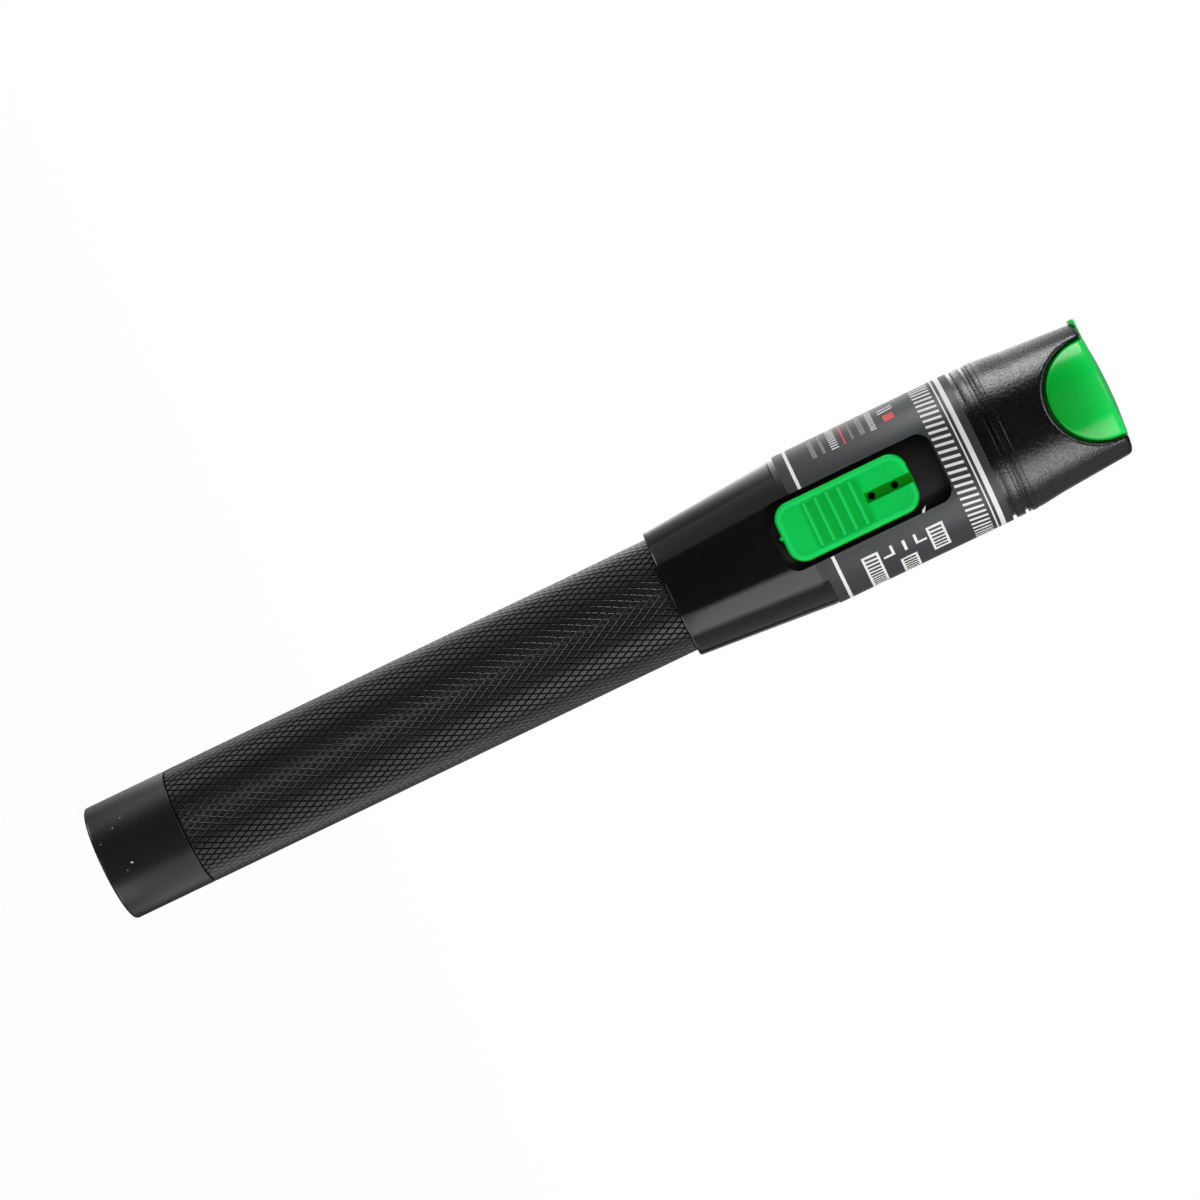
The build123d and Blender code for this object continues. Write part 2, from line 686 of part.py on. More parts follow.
with BuildPart() as dust_cap:
    pad_radius = notch_radius - cap_gap
    pad_rear_radius = shell_rear_radius - pad_sink
    pad_front_radius = shell_front_radius - pad_sink
    tube_bore = port_radius + cap_gap
    lip_radius = shell_front_radius - shell_wall - cap_gap
    pad_start_z = notch_z - pad_radius
    skirt_start_z = pad_start_z - skirt_lead
    cap_end_z = shell_end_z + cap_dome
    revolve(outline(
        (0, skirt_start_z), (pad_rear_radius - pad_lead, skirt_start_z), (pad_front_radius, shell_end_z),
        (0, shell_end_z)),
        axis=Axis.Z)
    with BuildSketch(Plane.XZ):
        with Locations((0, notch_z)):
            Circle(pad_radius)
        with Locations((0, notch_z)):
            Rectangle(2 * pad_radius, notch_inset, align=(Align.CENTER, Align.MIN))
    extrude(amount=2 * shell_rear_radius, both=True, mode=Mode.INTERSECT)
    revolve(outline(
        (0, skirt_start_z), (lip_radius, skirt_start_z), (lip_radius, shell_end_z),
        (lip_radius * 0.8, shell_end_z + cap_dome * 0.5), (lip_radius * 0.4, shell_end_z + cap_dome * 0.9),
        (0, cap_end_z)),
        axis=Axis.Z)
    with BuildSketch(Plane.XY.offset(shell_end_z + face_gap)):
        with Locations((-tab_root, 0)):
            RectangleRounded(2 * (tab_reach - tab_root), tab_width, tab_thickness)
    extrude(amount=tab_thickness)
    with Locations((-tab_reach, 0, shell_end_z - hook_drop)):
        Box(hook_wall, tab_width - 2 * tab_thickness, hook_drop + tab_thickness,
            align=(Align.MIN, Align.CENTER, Align.MIN))
    with Locations((0, 0, pad_start_z - 2)):
        Cylinder(tube_bore, port_end_z + bore_floor_gap - pad_start_z + 2,
                 align=(Align.CENTER, Align.CENTER, Align.MIN), mode=Mode.SUBTRACT)
    with BuildSketch(Plane.XY.offset(pad_start_z - 2)):
        Circle(pad_front_radius - cap_core_wall)
        Circle(tube_bore + tube_wall, mode=Mode.SUBTRACT)
    extrude(amount=shell_end_z - cap_lip - pad_start_z + 2, mode=Mode.SUBTRACT)
save(dust_cap.part, "dust_cap")
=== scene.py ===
import bpy
import bmesh
import numpy as np
from math import asin, atan2, ceil, cos, pi, radians, sin, sqrt, tan
from mathutils import Matrix, Vector


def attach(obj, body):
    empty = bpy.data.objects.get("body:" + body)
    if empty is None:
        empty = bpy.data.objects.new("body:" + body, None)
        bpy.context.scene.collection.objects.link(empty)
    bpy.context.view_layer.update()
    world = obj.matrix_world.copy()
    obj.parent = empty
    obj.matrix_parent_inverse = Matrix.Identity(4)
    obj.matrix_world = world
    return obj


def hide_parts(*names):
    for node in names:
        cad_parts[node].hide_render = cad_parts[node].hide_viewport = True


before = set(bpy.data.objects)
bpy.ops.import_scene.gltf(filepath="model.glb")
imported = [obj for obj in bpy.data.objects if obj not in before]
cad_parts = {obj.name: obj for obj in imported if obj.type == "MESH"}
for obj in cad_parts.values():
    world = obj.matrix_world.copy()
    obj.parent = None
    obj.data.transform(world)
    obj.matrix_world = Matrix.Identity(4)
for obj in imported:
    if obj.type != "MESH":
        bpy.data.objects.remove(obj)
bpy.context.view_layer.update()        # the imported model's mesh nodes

# Pen type visual fault locator. The pieces' dictionaries are in millimetres,
# those of the camera and the studio in metres.
mm = 0.001
print("frame loaded:", len(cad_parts), "nodes")

# camera

view = dict(place=(0.025, -0.8, 0.131), aim=(-0.0042, 0.0, 0.0898), up=(-0.902, 0.0, 0.432), lens=149.75,
            near=0.05, far=20)


def standing(place, ahead, up):
    # world matrix of a camera or lamp that looks ahead
    right = ahead.cross(up).normalized()
    turn = Matrix((right, right.cross(ahead), -ahead)).transposed().to_4x4()
    return Matrix.Translation(place) @ turn


def placeCamera(settings):
    camera = bpy.data.objects.new("viewCamera", bpy.data.cameras.new("viewCamera"))
    bpy.context.scene.collection.objects.link(camera)
    place = Vector(settings["place"])
    ahead = (Vector(settings["aim"]) - place).normalized()
    camera.matrix_world = standing(place, ahead, Vector(settings["up"]))
    camera.data.lens = settings["lens"]
    camera.data.clip_start = settings["near"]
    camera.data.clip_end = settings["far"]
    bpy.context.scene.camera = camera


placeCamera(view)
bpy.context.scene.view_settings.view_transform = "Standard"
print("camera placed")


# materials

def feed(tree, node, inputs):
    # an input takes a number, a colour or another node's output
    for key, value in dict(inputs).items():
        if isinstance(value, bpy.types.NodeSocket):
            tree.links.new(value, node.inputs[key])
        else:
            node.inputs[key].default_value = value


def addNode(tree, kind, inputs=(), **settings):
    node = tree.nodes.new(kind)
    for key, value in settings.items():
        setattr(node, key, value)
    feed(tree, node, inputs)
    return node


def output(tree, kind, inputs=(), name=0, **settings):
    # one output of a new node, the first one if no name is given
    return addNode(tree, kind, inputs, **settings).outputs[name]


def calc(tree, operation, a, b=0.0):
    return output(tree, "ShaderNodeMath", {0: a, 1: b}, operation=operation)


def upTo(tree, z):
    # a vector along Z
    return output(tree, "ShaderNodeCombineXYZ", {"Z": z})


def objectPoint(tree, scale=(1, 1, 1)):
    # object coordinates in metres, stretched per axis
    place = output(tree, "ShaderNodeTexCoord", name="Object")
    return output(tree, "ShaderNodeMapping", {"Vector": place, "Scale": scale})


def alongAxis(tree, axis):
    return output(tree, "ShaderNodeSeparateXYZ", {"Vector": objectPoint(tree)}, axis)


def noiseValue(tree, scale, detail=2.0, rough=0.5, stretch=(1, 1, 1)):
    return output(tree, "ShaderNodeTexNoise", {
        "Vector": objectPoint(tree, stretch), "Scale": scale, "Detail": detail, "Roughness": rough}, "Fac")


def between(tree, value, low, high, start=0.3, end=0.7):
    # carries a pattern from start..end to low..high
    return output(tree, "ShaderNodeMapRange", {
        "Value": value, "From Min": start, "From Max": end, "To Min": low, "To Max": high}, "Result")


def shaded(tree, value, dark, light, start=0.3, end=0.7):
    ramp = addNode(tree, "ShaderNodeValToRGB", {"Fac": value})
    for stop, place, colour in zip(ramp.color_ramp.elements, (start, end), (dark, light)):
        stop.position = place
        stop.color = (*colour, 1)
    return ramp.outputs["Color"]


def bumped(tree, height, depth, under=None):
    inputs = {"Height": height, "Distance": depth * mm, "Strength": 1.0}
    if under is not None:
        inputs["Normal"] = under
    return output(tree, "ShaderNodeBump", inputs)


def scaled(colour, factor):
    return tuple(min(1.0, channel * factor) for channel in colour)


def newSurface(name):
    surface = bpy.data.materials.new(name)
    surface.use_nodes = True
    return surface, surface.node_tree, surface.node_tree.nodes["Principled BSDF"]


def makeFinish(name, colour, rough=0.42, vary=0.12, patch=90.0, grain=3000.0, grainDepth=0.004,
               roughSpread=0.08, turned=0.0, metal=0.0, specular=0.5):
    # a moulded or machined finish: patches of tone, fine grain in the roughness, a low relief
    surface, tree, shader = newSurface(name)
    patches = noiseValue(tree, patch, 3.0)
    fine = noiseValue(tree, grain, 4.0, 0.6)
    normal = bumped(tree, fine, grainDepth)
    if turned:
        # marks of the lathe round the axis
        normal = bumped(tree, noiseValue(tree, 1.0, 2.0, 0.5, (60, 60, 9000)), turned, normal)
    feed(tree, shader, {
        "Base Color": shaded(tree, patches, scaled(colour, 1 - vary), scaled(colour, 1 + vary)),
        "Roughness": between(tree, fine, rough - roughSpread, rough + roughSpread),
        "Normal": normal, "Metallic": metal, "Specular IOR Level": specular})
    return surface


finishes = {
    "anodisedSatin": dict(colour=(0.0085, 0.0085, 0.0095), rough=0.34, grain=9000, grainDepth=0.003,
                          turned=0.0015, specular=0.42),
    "anodisedKnurl": dict(colour=(0.0085, 0.0085, 0.0095), rough=0.34, grain=9000, grainDepth=0.003),
    "sleeveGloss": dict(colour=(0.0055, 0.0055, 0.006), rough=0.12, roughSpread=0.03, grain=1500,
                        grainDepth=0.0008),
    "labelFilm": dict(colour=(0.031, 0.032, 0.034), specular=0.3, grain=6000, grainDepth=0.002),
    "recessBlack": dict(colour=(0.007, 0.007, 0.007), rough=0.55, grainDepth=0.01),
    "sparkTexture": dict(colour=(0.0045, 0.0045, 0.005), rough=0.26, grain=2100, grainDepth=0.06),
    "sealRubber": dict(colour=(0.018, 0.018, 0.018), rough=0.5),
    "nickelPlate": dict(colour=(0.6, 0.58, 0.53), rough=0.24, metal=1.0, vary=0.05, turned=0.003),
    "springWire": dict(colour=(0.5, 0.5, 0.51), rough=0.28, metal=1.0, vary=0.08),
    "mouldedBlack": dict(colour=(0.025, 0.025, 0.026), rough=0.5, grainDepth=0.008),
    "chipBlack": dict(colour=(0.016, 0.016, 0.017), rough=0.55, grainDepth=0.01),
    "trimmerBlue": dict(colour=(0.04, 0.17, 0.45), rough=0.4),
    "canSilver": dict(colour=(0.66, 0.66, 0.68), rough=0.3, metal=1.0, vary=0.05, turned=0.002),
    "turnedBrass": dict(colour=(0.72, 0.5, 0.2), rough=0.26, metal=1.0, vary=0.08, turned=0.004),
    "zirconiaWhite": dict(colour=(0.85, 0.84, 0.8), rough=0.3, vary=0.04),
    "printWhite": dict(colour=(0.7, 0.7, 0.69), specular=0.3, vary=0.05, patch=400),
    "printGrey": dict(colour=(0.34, 0.34, 0.34), vary=0.1, patch=400),
    "printRed": dict(colour=(0.6, 0.016, 0.014), vary=0.08, patch=400),
    "signDark": dict(colour=(0.03, 0.03, 0.032), patch=400),
    "tornChip": dict(colour=(0.62, 0.62, 0.6), rough=0.6, vary=0.2, patch=1500, grainDepth=0.02),
}
surfaces = {name: makeFinish(name, **values) for name, values in finishes.items()}


def makeCellSleeve():
    # plain silver sleeve with a darker field at its far end, once in each cell's length
    cellPitch, silverEnd, darkStart = 0.0505, 0.034, 0.035
    surface, tree, shader = newSurface("cellSleeve")
    cycle = calc(tree, "MODULO", alongAxis(tree, "Z"), cellPitch)
    field = between(tree, cycle, 0, 1, silverEnd, darkStart)
    fine = noiseValue(tree, 1500, 3.0)
    feed(tree, shader, {
        "Base Color": shaded(tree, field, (0.45, 0.46, 0.48), (0.08, 0.08, 0.085), 0.4, 0.6),
        "Roughness": between(tree, fine, 0.22, 0.34), "Normal": bumped(tree, fine, 0.004), "Metallic": 0.6})
    return surface


def makeBoardGreen():
    # solder resist over raised tracks
    surface, tree, shader = newSurface("boardGreen")
    tracks = addNode(tree, "ShaderNodeTexBrick", {
        "Vector": objectPoint(tree), "Scale": 500.0, "Mortar Size": 0.12, "Color1": (0.012, 0.14, 0.05, 1),
        "Color2": (0.016, 0.17, 0.06, 1), "Mortar": (0.04, 0.26, 0.1, 1)}).outputs
    feed(tree, shader, {
        "Base Color": tracks["Color"], "Roughness": between(tree, noiseValue(tree, 2500), 0.25, 0.4),
        "Normal": bumped(tree, tracks["Fac"], 0.03)})
    return surface


def makeLensGlass():
    surface, tree, shader = newSurface("lensGlass")
    haze = noiseValue(tree, 900, 3.0)
    feed(tree, shader, {
        "Base Color": shaded(tree, haze, (0.9, 0.94, 1.0), (0.94, 0.97, 1.0)),
        "Roughness": between(tree, haze, 0.01, 0.05), "Transmission Weight": 1.0, "IOR": 1.52})
    return surface


def makeGreenWithPaintedShade(name, axis, direction, tones, rough, specular):
    # moulded green with painted shade and painted highlight graded along one axis: tones are (millimetres
    # along the axis, colour)
    surface, tree, shader = newSurface(name)
    low, high = tones[0][0], tones[-1][0]
    share = between(tree, alongAxis(tree, axis), 0, 1, direction * low * mm, direction * high * mm)
    # this ramp paints the shade and the highlight into the base colour
    ramp = addNode(tree, "ShaderNodeValToRGB", {"Fac": share})
    stops = ramp.color_ramp.elements
    for height, colour in tones:
        stop = stops[0] if height == low else stops[-1] if height == high else None
        stop = stop or stops.new((height - low) / (high - low))
        stop.color = (*colour, 1)
    clouds = between(tree, noiseValue(tree, 160, 3.0), 0.95, 1.05)
    fine = noiseValue(tree, 5000, 4.0, 0.6)
    feed(tree, shader, {
        "Base Color": output(tree, "ShaderNodeVectorMath", {0: ramp.outputs["Color"], "Scale": clouds},
                             operation="SCALE"),
        "Roughness": between(tree, fine, rough - 0.06, rough + 0.06), "Normal": bumped(tree, fine, 0.004),
        "Specular IOR Level": specular})
    return surface


# painted shade: the button's green darkens with depth below its top, so the groove and the hollow of the grip
# are painted darker
surfaces["switchGreen"] = makeGreenWithPaintedShade("switchGreen", "Y", -1, (
    (12.1, (0.0005, 0.2, 0.002)), (12.25, (0.0005, 0.25, 0.003)), (12.45, (0.001, 0.43, 0.045)),
    (12.6, (0.001, 0.56, 0.075)), (12.75, (0.012, 0.66, 0.13))), rough=0.28, specular=0.08)
# painted shade and painted highlight: the cap darkens towards its rear, in the shade of the shell's notch,
# and lightens to a painted highlight on its front lip
surfaces["capGreen"] = makeGreenWithPaintedShade("capGreen", "Z", 1, (
    (166.0, (0.0005, 0.3, 0.02)), (172.0, (0.0005, 0.42, 0.04)), (174.5, (0.001, 0.56, 0.06)),
    (176.3, (0.01, 0.68, 0.1)), (178.0, (0.12, 0.78, 0.26))), rough=0.22, specular=0.25)
for surface in (makeCellSleeve(), makeBoardGreen(), makeLensGlass()):
    surfaces[surface.name] = surface

nodesOf = {
    "sealRubber": "tail_o_ring barrel_o_ring front_o_ring", "springWire": "tail_spring",
    "nickelPlate": "tail_contact front_contact port_stem sleeve_retainer", "recessBlack": "slot_liner",
    "cellSleeve": "cell_rear cell_front", "canSilver": "switch_housing capacitor laser_diode",
    "mouldedBlack": "switch_actuator inner_frame", "boardGreen": "circuit_board", "chipBlack": "driver_chip",
    "trimmerBlue": "trim_pot", "turnedBrass": "laser_holder lens_retainer", "zirconiaWhite": "ceramic_sleeve",
    "lensGlass": "focus_lens",
}
for finishName, nodeNames in nodesOf.items():
    for node in [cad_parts[nodeName] for nodeName in nodeNames.split()]:
        if not node.material_slots:
            node.data.materials.append(None)
        for materialSlot in node.material_slots:
            materialSlot.material = surfaces[finishName]
print("materials made:", len(surfaces))


# tools for shapes

def roundCorners(points, steps=6):
    # (radius, height) points; a third number rounds that corner
    rounded = []
    for index, point in enumerate(points):
        here = Vector(point[:2])
        if len(point) < 3:
            rounded.append(here)
            continue
        back = (Vector(points[index - 1][:2]) - here).normalized()
        ahead = (Vector(points[(index + 1) % len(points)][:2]) - here).normalized()
        half = back.angle(ahead) / 2
        centre = here + (back + ahead).normalized() * point[2] / sin(half)
        start = here + back * point[2] / tan(half) - centre
        end = here + ahead * point[2] / tan(half) - centre
        first = atan2(start.y, start.x)
        swing = (atan2(end.y, end.x) - first + pi) % (2 * pi) - pi
        for step in range(steps + 1):
            angle = first + swing * step / steps
            rounded.append(centre + Vector((cos(angle), sin(angle))) * point[2])
    return rounded


def rectangle(half, low, high):
    # corners of a box that is centred on x = 0
    return [(half, low), (half, high), (-half, high), (-half, low)]


def tubeOutline(inner, outer, low, high):
    return [(inner, low), (outer, low), (outer, high), (inner, high)]


def smoothShade(mesh, angle=35):
    for polygon in mesh.polygons:
        polygon.use_smooth = True
    mesh.set_sharp_from_angle(angle=radians(angle))


def toObject(name, shape, angle=None, outward=True):
    # the finished bmesh becomes an object
    if outward:
        bmesh.ops.recalc_face_normals(shape, faces=shape.faces)
    mesh = bpy.data.meshes.new(name)
    shape.to_mesh(mesh)
    shape.free()
    if angle:
        smoothShade(mesh, angle)
    piece = bpy.data.objects.new(name, mesh)
    bpy.context.scene.collection.objects.link(piece)
    return piece


def bridge(shape, low, high):
    # faces between two loops of the same length
    for index in range(len(low)):
        after = (index + 1) % len(low)
        shape.faces.new((low[index], low[after], high[after], high[index]))


def spinOutline(name, points, size=None, segments=180, steps=6):
    # closed half section turned round the axis; a text names a corner's radius, height and rounding
    corners = [[size[key] for key in point.split()] if isinstance(point, str) else point for point in points]
    section = roundCorners(corners, steps)
    shape = bmesh.new()
    rings = []
    for segment in range(segments):
        angle = 2 * pi * segment / segments
        rings.append([shape.verts.new((p.x * mm * sin(angle), -p.x * mm * cos(angle), p.y * mm))
                      for p in section])
    for segment in range(segments):
        ring, following = rings[segment], rings[(segment + 1) % segments]
        for index in range(len(section)):
            after = (index + 1) % len(section)
            if max(section[index].x, section[after].x) > 1e-6:
                shape.faces.new((ring[index], following[index], following[after], ring[after]))
    bmesh.ops.remove_doubles(shape, verts=shape.verts, dist=1e-7)
    bmesh.ops.dissolve_degenerate(shape, edges=shape.edges, dist=1e-8)
    return toObject(name, shape, 35)


def bakeModifiers(piece):
    # turns the evaluated object into a plain mesh
    graph = bpy.context.evaluated_depsgraph_get()
    plain = bpy.data.meshes.new_from_object(piece.evaluated_get(graph))
    piece.modifiers.clear()
    piece.data = plain
    plain.name = piece.name


def carve(piece, cutter, operation="DIFFERENCE", angle=35):
    boolean = piece.modifiers.new("carve", "BOOLEAN")
    boolean.operation = operation
    boolean.object = cutter
    boolean.solver = "EXACT"
    bpy.context.view_layer.update()
    bakeModifiers(piece)
    bpy.data.objects.remove(cutter)
    smoothShade(piece.data, angle)


def joinInto(piece, other):
    # adds another plain mesh to a piece
    shape = bmesh.new()
    shape.from_mesh(piece.data)
    shape.from_mesh(other.data)
    shape.to_mesh(piece.data)
    shape.free()
    bpy.data.objects.remove(other)


def prism(name, contour, front, back):
    # (x, z) contour drawn out along Y, from y = front to y = back
    shape = bmesh.new()
    near, far = ([shape.verts.new((x * mm, y * mm, z * mm)) for x, z in contour] for y in (front, back))
    shape.faces.new(near)
    shape.faces.new(far[::-1])
    bridge(shape, far, near)
    return toObject(name, shape)


def boxDistance(x, z, width, length, corner):
    # signed distance to a rounded rectangle round the origin, inside negative
    outX = np.abs(x) - width / 2 + corner
    outZ = np.abs(z) - length / 2 + corner
    outside = np.hypot(np.maximum(outX, 0), np.maximum(outZ, 0))
    return outside + np.minimum(np.maximum(outX, outZ), 0) - corner


def easeStep(value, start, end):
    part = np.clip((value - start) / (end - start), 0, 1)
    return part * part * (3 - 2 * part)


def quarterRound(level, depth, edge):
    # lowers the level along a quarter circle over the last stretch before an edge
    near = np.clip(edge - depth, 0, edge)
    return level - (edge - np.sqrt(np.maximum(edge ** 2 - near ** 2, 0)))


def mouldedField(name, distance, height, box, cell, floorY=None, angle=50):
    # a height field towards -Y over the inside of a contour, with walls down to floorY,
    # or to its own mirror image where no floor is given
    lowX, highX, lowZ, highZ = box
    countX, countZ = ceil((highX - lowX) / cell) + 3, ceil((highZ - lowZ) / cell) + 3
    xs, zs = np.meshgrid(lowX - cell + cell * np.arange(countX), lowZ - cell + cell * np.arange(countZ),
                         indexing="ij")
    reach = distance(xs, zs)
    step, border = 1e-4, -0.35 * cell
    slopeX = (distance(xs + step, zs) - distance(xs - step, zs)) / (2 * step)
    slopeZ = (distance(xs, zs + step) - distance(xs, zs - step)) / (2 * step)
    length = np.maximum(np.hypot(slopeX, slopeZ), 1e-9)
    pulled = np.where(reach > border, reach, 0)        # the border points move onto the contour
    xs, zs = xs - pulled * slopeX / length, zs - pulled * slopeZ / length
    inside = reach <= border
    ys = height(xs, zs)
    shape = bmesh.new()
    fronts, backs = {}, {}

    def corner(store, i, j, y):
        if (i, j) not in store:
            store[i, j] = shape.verts.new((xs[i, j] * mm, y * mm, zs[i, j] * mm))
        return store[i, j]

    for i in range(countX - 1):
        for j in range(countZ - 1):
            around = ((i, j), (i + 1, j), (i + 1, j + 1), (i, j + 1))
            if any(inside[a] for a in around):
                shape.faces.new([corner(fronts, *a, -ys[a]) for a in around])
                shape.faces.new([corner(backs, *a, ys[a] if floorY is None else floorY)
                                 for a in around[::-1]])
    partner = {fronts[key]: backs[key] for key in fronts}
    for edge in [edge for edge in shape.edges if len(edge.link_faces) == 1]:
        a, b = edge.verts
        if a in partner and b in partner:
            shape.faces.new((a, b, partner[b], partner[a]))
    return toObject(name, shape, angle)


def finishPiece(piece, finishName, body, slotName, *nodes):
    piece.data.materials.clear()
    piece.data.materials.append(surfaces[finishName])
    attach(piece, body)
    if nodes:
        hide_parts(*nodes)


# tools for Geometry Nodes groups

def newGroup(name, kinds):
    # a group with a geometry in and out, and one named input of each kind
    tree = bpy.data.node_groups.new(name, "GeometryNodeTree")
    sockets = {}
    for way in ("INPUT", "OUTPUT"):
        tree.interface.new_socket("Geometry", in_out=way, socket_type="NodeSocketGeometry")
    for label, kind in kinds.items():
        socket = tree.interface.new_socket(label, in_out="INPUT", socket_type="NodeSocket" + kind)
        sockets[label] = socket.identifier
    return tree, sockets, addNode(tree, "NodeGroupInput").outputs


def closeGroup(tree, given, added):
    # joins what was added to the piece that carries it, as one real mesh with its finish
    joined = addNode(tree, "GeometryNodeJoinGeometry", {"Geometry": given["Geometry"]})
    tree.links.new(added, joined.inputs["Geometry"])
    real = output(tree, "GeometryNodeRealizeInstances", {"Geometry": joined.outputs["Geometry"]})
    coated = output(tree, "GeometryNodeSetMaterial", {"Geometry": real, "Material": given["Finish"]})
    addNode(tree, "NodeGroupOutput", {"Geometry": coated})


def applyTree(piece, tree, sockets, values):
    modifier = piece.modifiers.new("build", "NODES")
    modifier.node_group = tree
    for label, value in values.items():
        modifier[sockets[label]] = value
    bpy.context.view_layer.update()
    bakeModifiers(piece)


# tail cap

tail = dict(radius=9.8, length=14.3, edge=0.5, backEdge=0.2, floor=3.0, bore=6.2, boreEnd=17.0, mouth=7.4,
            spigot=8.45, spigotRoot=8.15, spigotEnd=21.8, grooveStart=14.9, grooveEnd=16.1, grooveFloor=7.6,
            lead=0.3, threadPitch=1.0, threadStart=17.0, threadInset=0.4, threadSpare=1.0,
            threadSection=0.26, threadSink=0.02)


def spiralTree(name):
    # a screw thread: a small section swept along a helix
    tree, sockets, given = newGroup(name, {
        "Radius": "Float", "Height": "Float", "Turns": "Float", "Start": "Float", "Section": "Float",
        "Finish": "Material"})
    helix = output(tree, "GeometryNodeCurveSpiral", {
        "Resolution": 64, "Rotations": given["Turns"], "Start Radius": given["Radius"],
        "End Radius": given["Radius"], "Height": given["Height"]})
    raised = output(tree, "GeometryNodeTransform", {
        "Geometry": helix, "Translation": upTo(tree, given["Start"])})
    section = output(tree, "GeometryNodeCurvePrimitiveCircle", {
        "Resolution": 6, "Radius": given["Section"]}, mode="RADIUS")
    closeGroup(tree, given, output(tree, "GeometryNodeCurveToMesh", {
        "Curve": raised, "Profile Curve": section, "Fill Caps": True}))
    return tree, sockets


def makeTailCap(size):
    lead = size["lead"]
    piece = spinOutline("tailCap", [
        (0, 0), (size["radius"], 0, size["edge"]), "radius length backEdge", "spigot length",
        "spigot grooveStart", "grooveFloor grooveStart", "grooveFloor grooveEnd", "spigot grooveEnd",
        (size["spigot"], size["threadStart"] - lead), "spigotRoot threadStart",
        (size["spigotRoot"], size["spigotEnd"] - lead), (size["spigotRoot"] - lead, size["spigotEnd"]),
        "mouth spigotEnd", "mouth boreEnd", "bore boreEnd", "bore floor", (0, size["floor"])], size)
    tree, sockets = spiralTree("capThread")
    turns = (size["spigotEnd"] - size["threadStart"] - size["threadSpare"]) / size["threadPitch"]
    applyTree(piece, tree, sockets, {
        "Radius": (size["spigotRoot"] + size["threadSink"]) * mm, "Turns": turns,
        "Height": turns * size["threadPitch"] * mm, "Start": (size["threadStart"] + size["threadInset"]) * mm,
        "Section": size["threadSection"] * mm, "Finish": surfaces["anodisedSatin"]})
    smoothShade(piece.data)
    finishPiece(piece, "anodisedSatin", "tail_end", "satin_black", "tail_cap")


def makeTailSpecks(size):
    # the pale specks that the photo shows on the cap: (azimuth in degrees, height, radius)
    specks = ((8.8, 4.75, 0.17), (9.6, 4.95, 0.1), (-36, 5.8, 0.1), (-29, 4.1, 0.09), (-19, 1.4, 0.08),
              (14, 3.6, 0.07))
    shape = bmesh.new()
    for azimuth, height, radius in specks:
        angle = radians(azimuth)
        place = Vector((sin(angle) * size["radius"], -cos(angle) * size["radius"], height)) * mm
        bmesh.ops.create_icosphere(shape, subdivisions=2, radius=radius * mm,
                                   matrix=Matrix.Translation(place))
    finishPiece(toObject("tailSpecks", shape, 35), "tornChip", "tail_end", "satin_black")


makeTailCap(tail)
makeTailSpecks(tail)
print("tail cap made")

# knurled barrel

barrel = dict(crest=9.8, root=9.44, start=14.4, end=100.6, edge=0.1, neck=8.8, neckEnd=109.4, neckEdge=0.4,
              grooveStart=101.6, grooveEnd=102.8, grooveFloor=8.3, bore=7.6, mouth=8.6, mouthEnd=22.3,
              sealRoom=8.7, sealEnd=16.4, lead=0.3, starts=51, lozengeLength=2.2, crestShare=0.7,
              shoulderShare=0.86, chamfer=0.055, sink=0.03, rearMargin=0.05, frontMargin=0.02)


def lozengeStud(size):
    # one flat topped lozenge with a small chamfer, standing on the root tube at +X
    halfWidth = pi * size["crest"] / size["starts"]
    halfLength = size["lozengeLength"] / 2
    levels = ((size["root"] - size["sink"], 1.0), (size["crest"] - size["chamfer"], size["shoulderShare"]),
              (size["crest"], size["crestShare"]))
    shape = bmesh.new()
    loops = []
    for radius, share in levels:
        swing = halfWidth * share / size["crest"]
        loops.append([shape.verts.new((radius * cos(a) * mm, radius * sin(a) * mm, z * share * mm))
                      for a, z in ((swing, 0), (0, halfLength), (-swing, 0), (0, -halfLength))])
    for low, high in zip(loops, loops[1:]):
        bridge(shape, low, high)
    right, top, left, bottom = loops[-1]
    shape.faces.new((right, top, bottom))
    shape.faces.new((top, left, bottom))
    shape.faces.new(loops[0][::-1])
    return toObject("lozengeStud", shape)


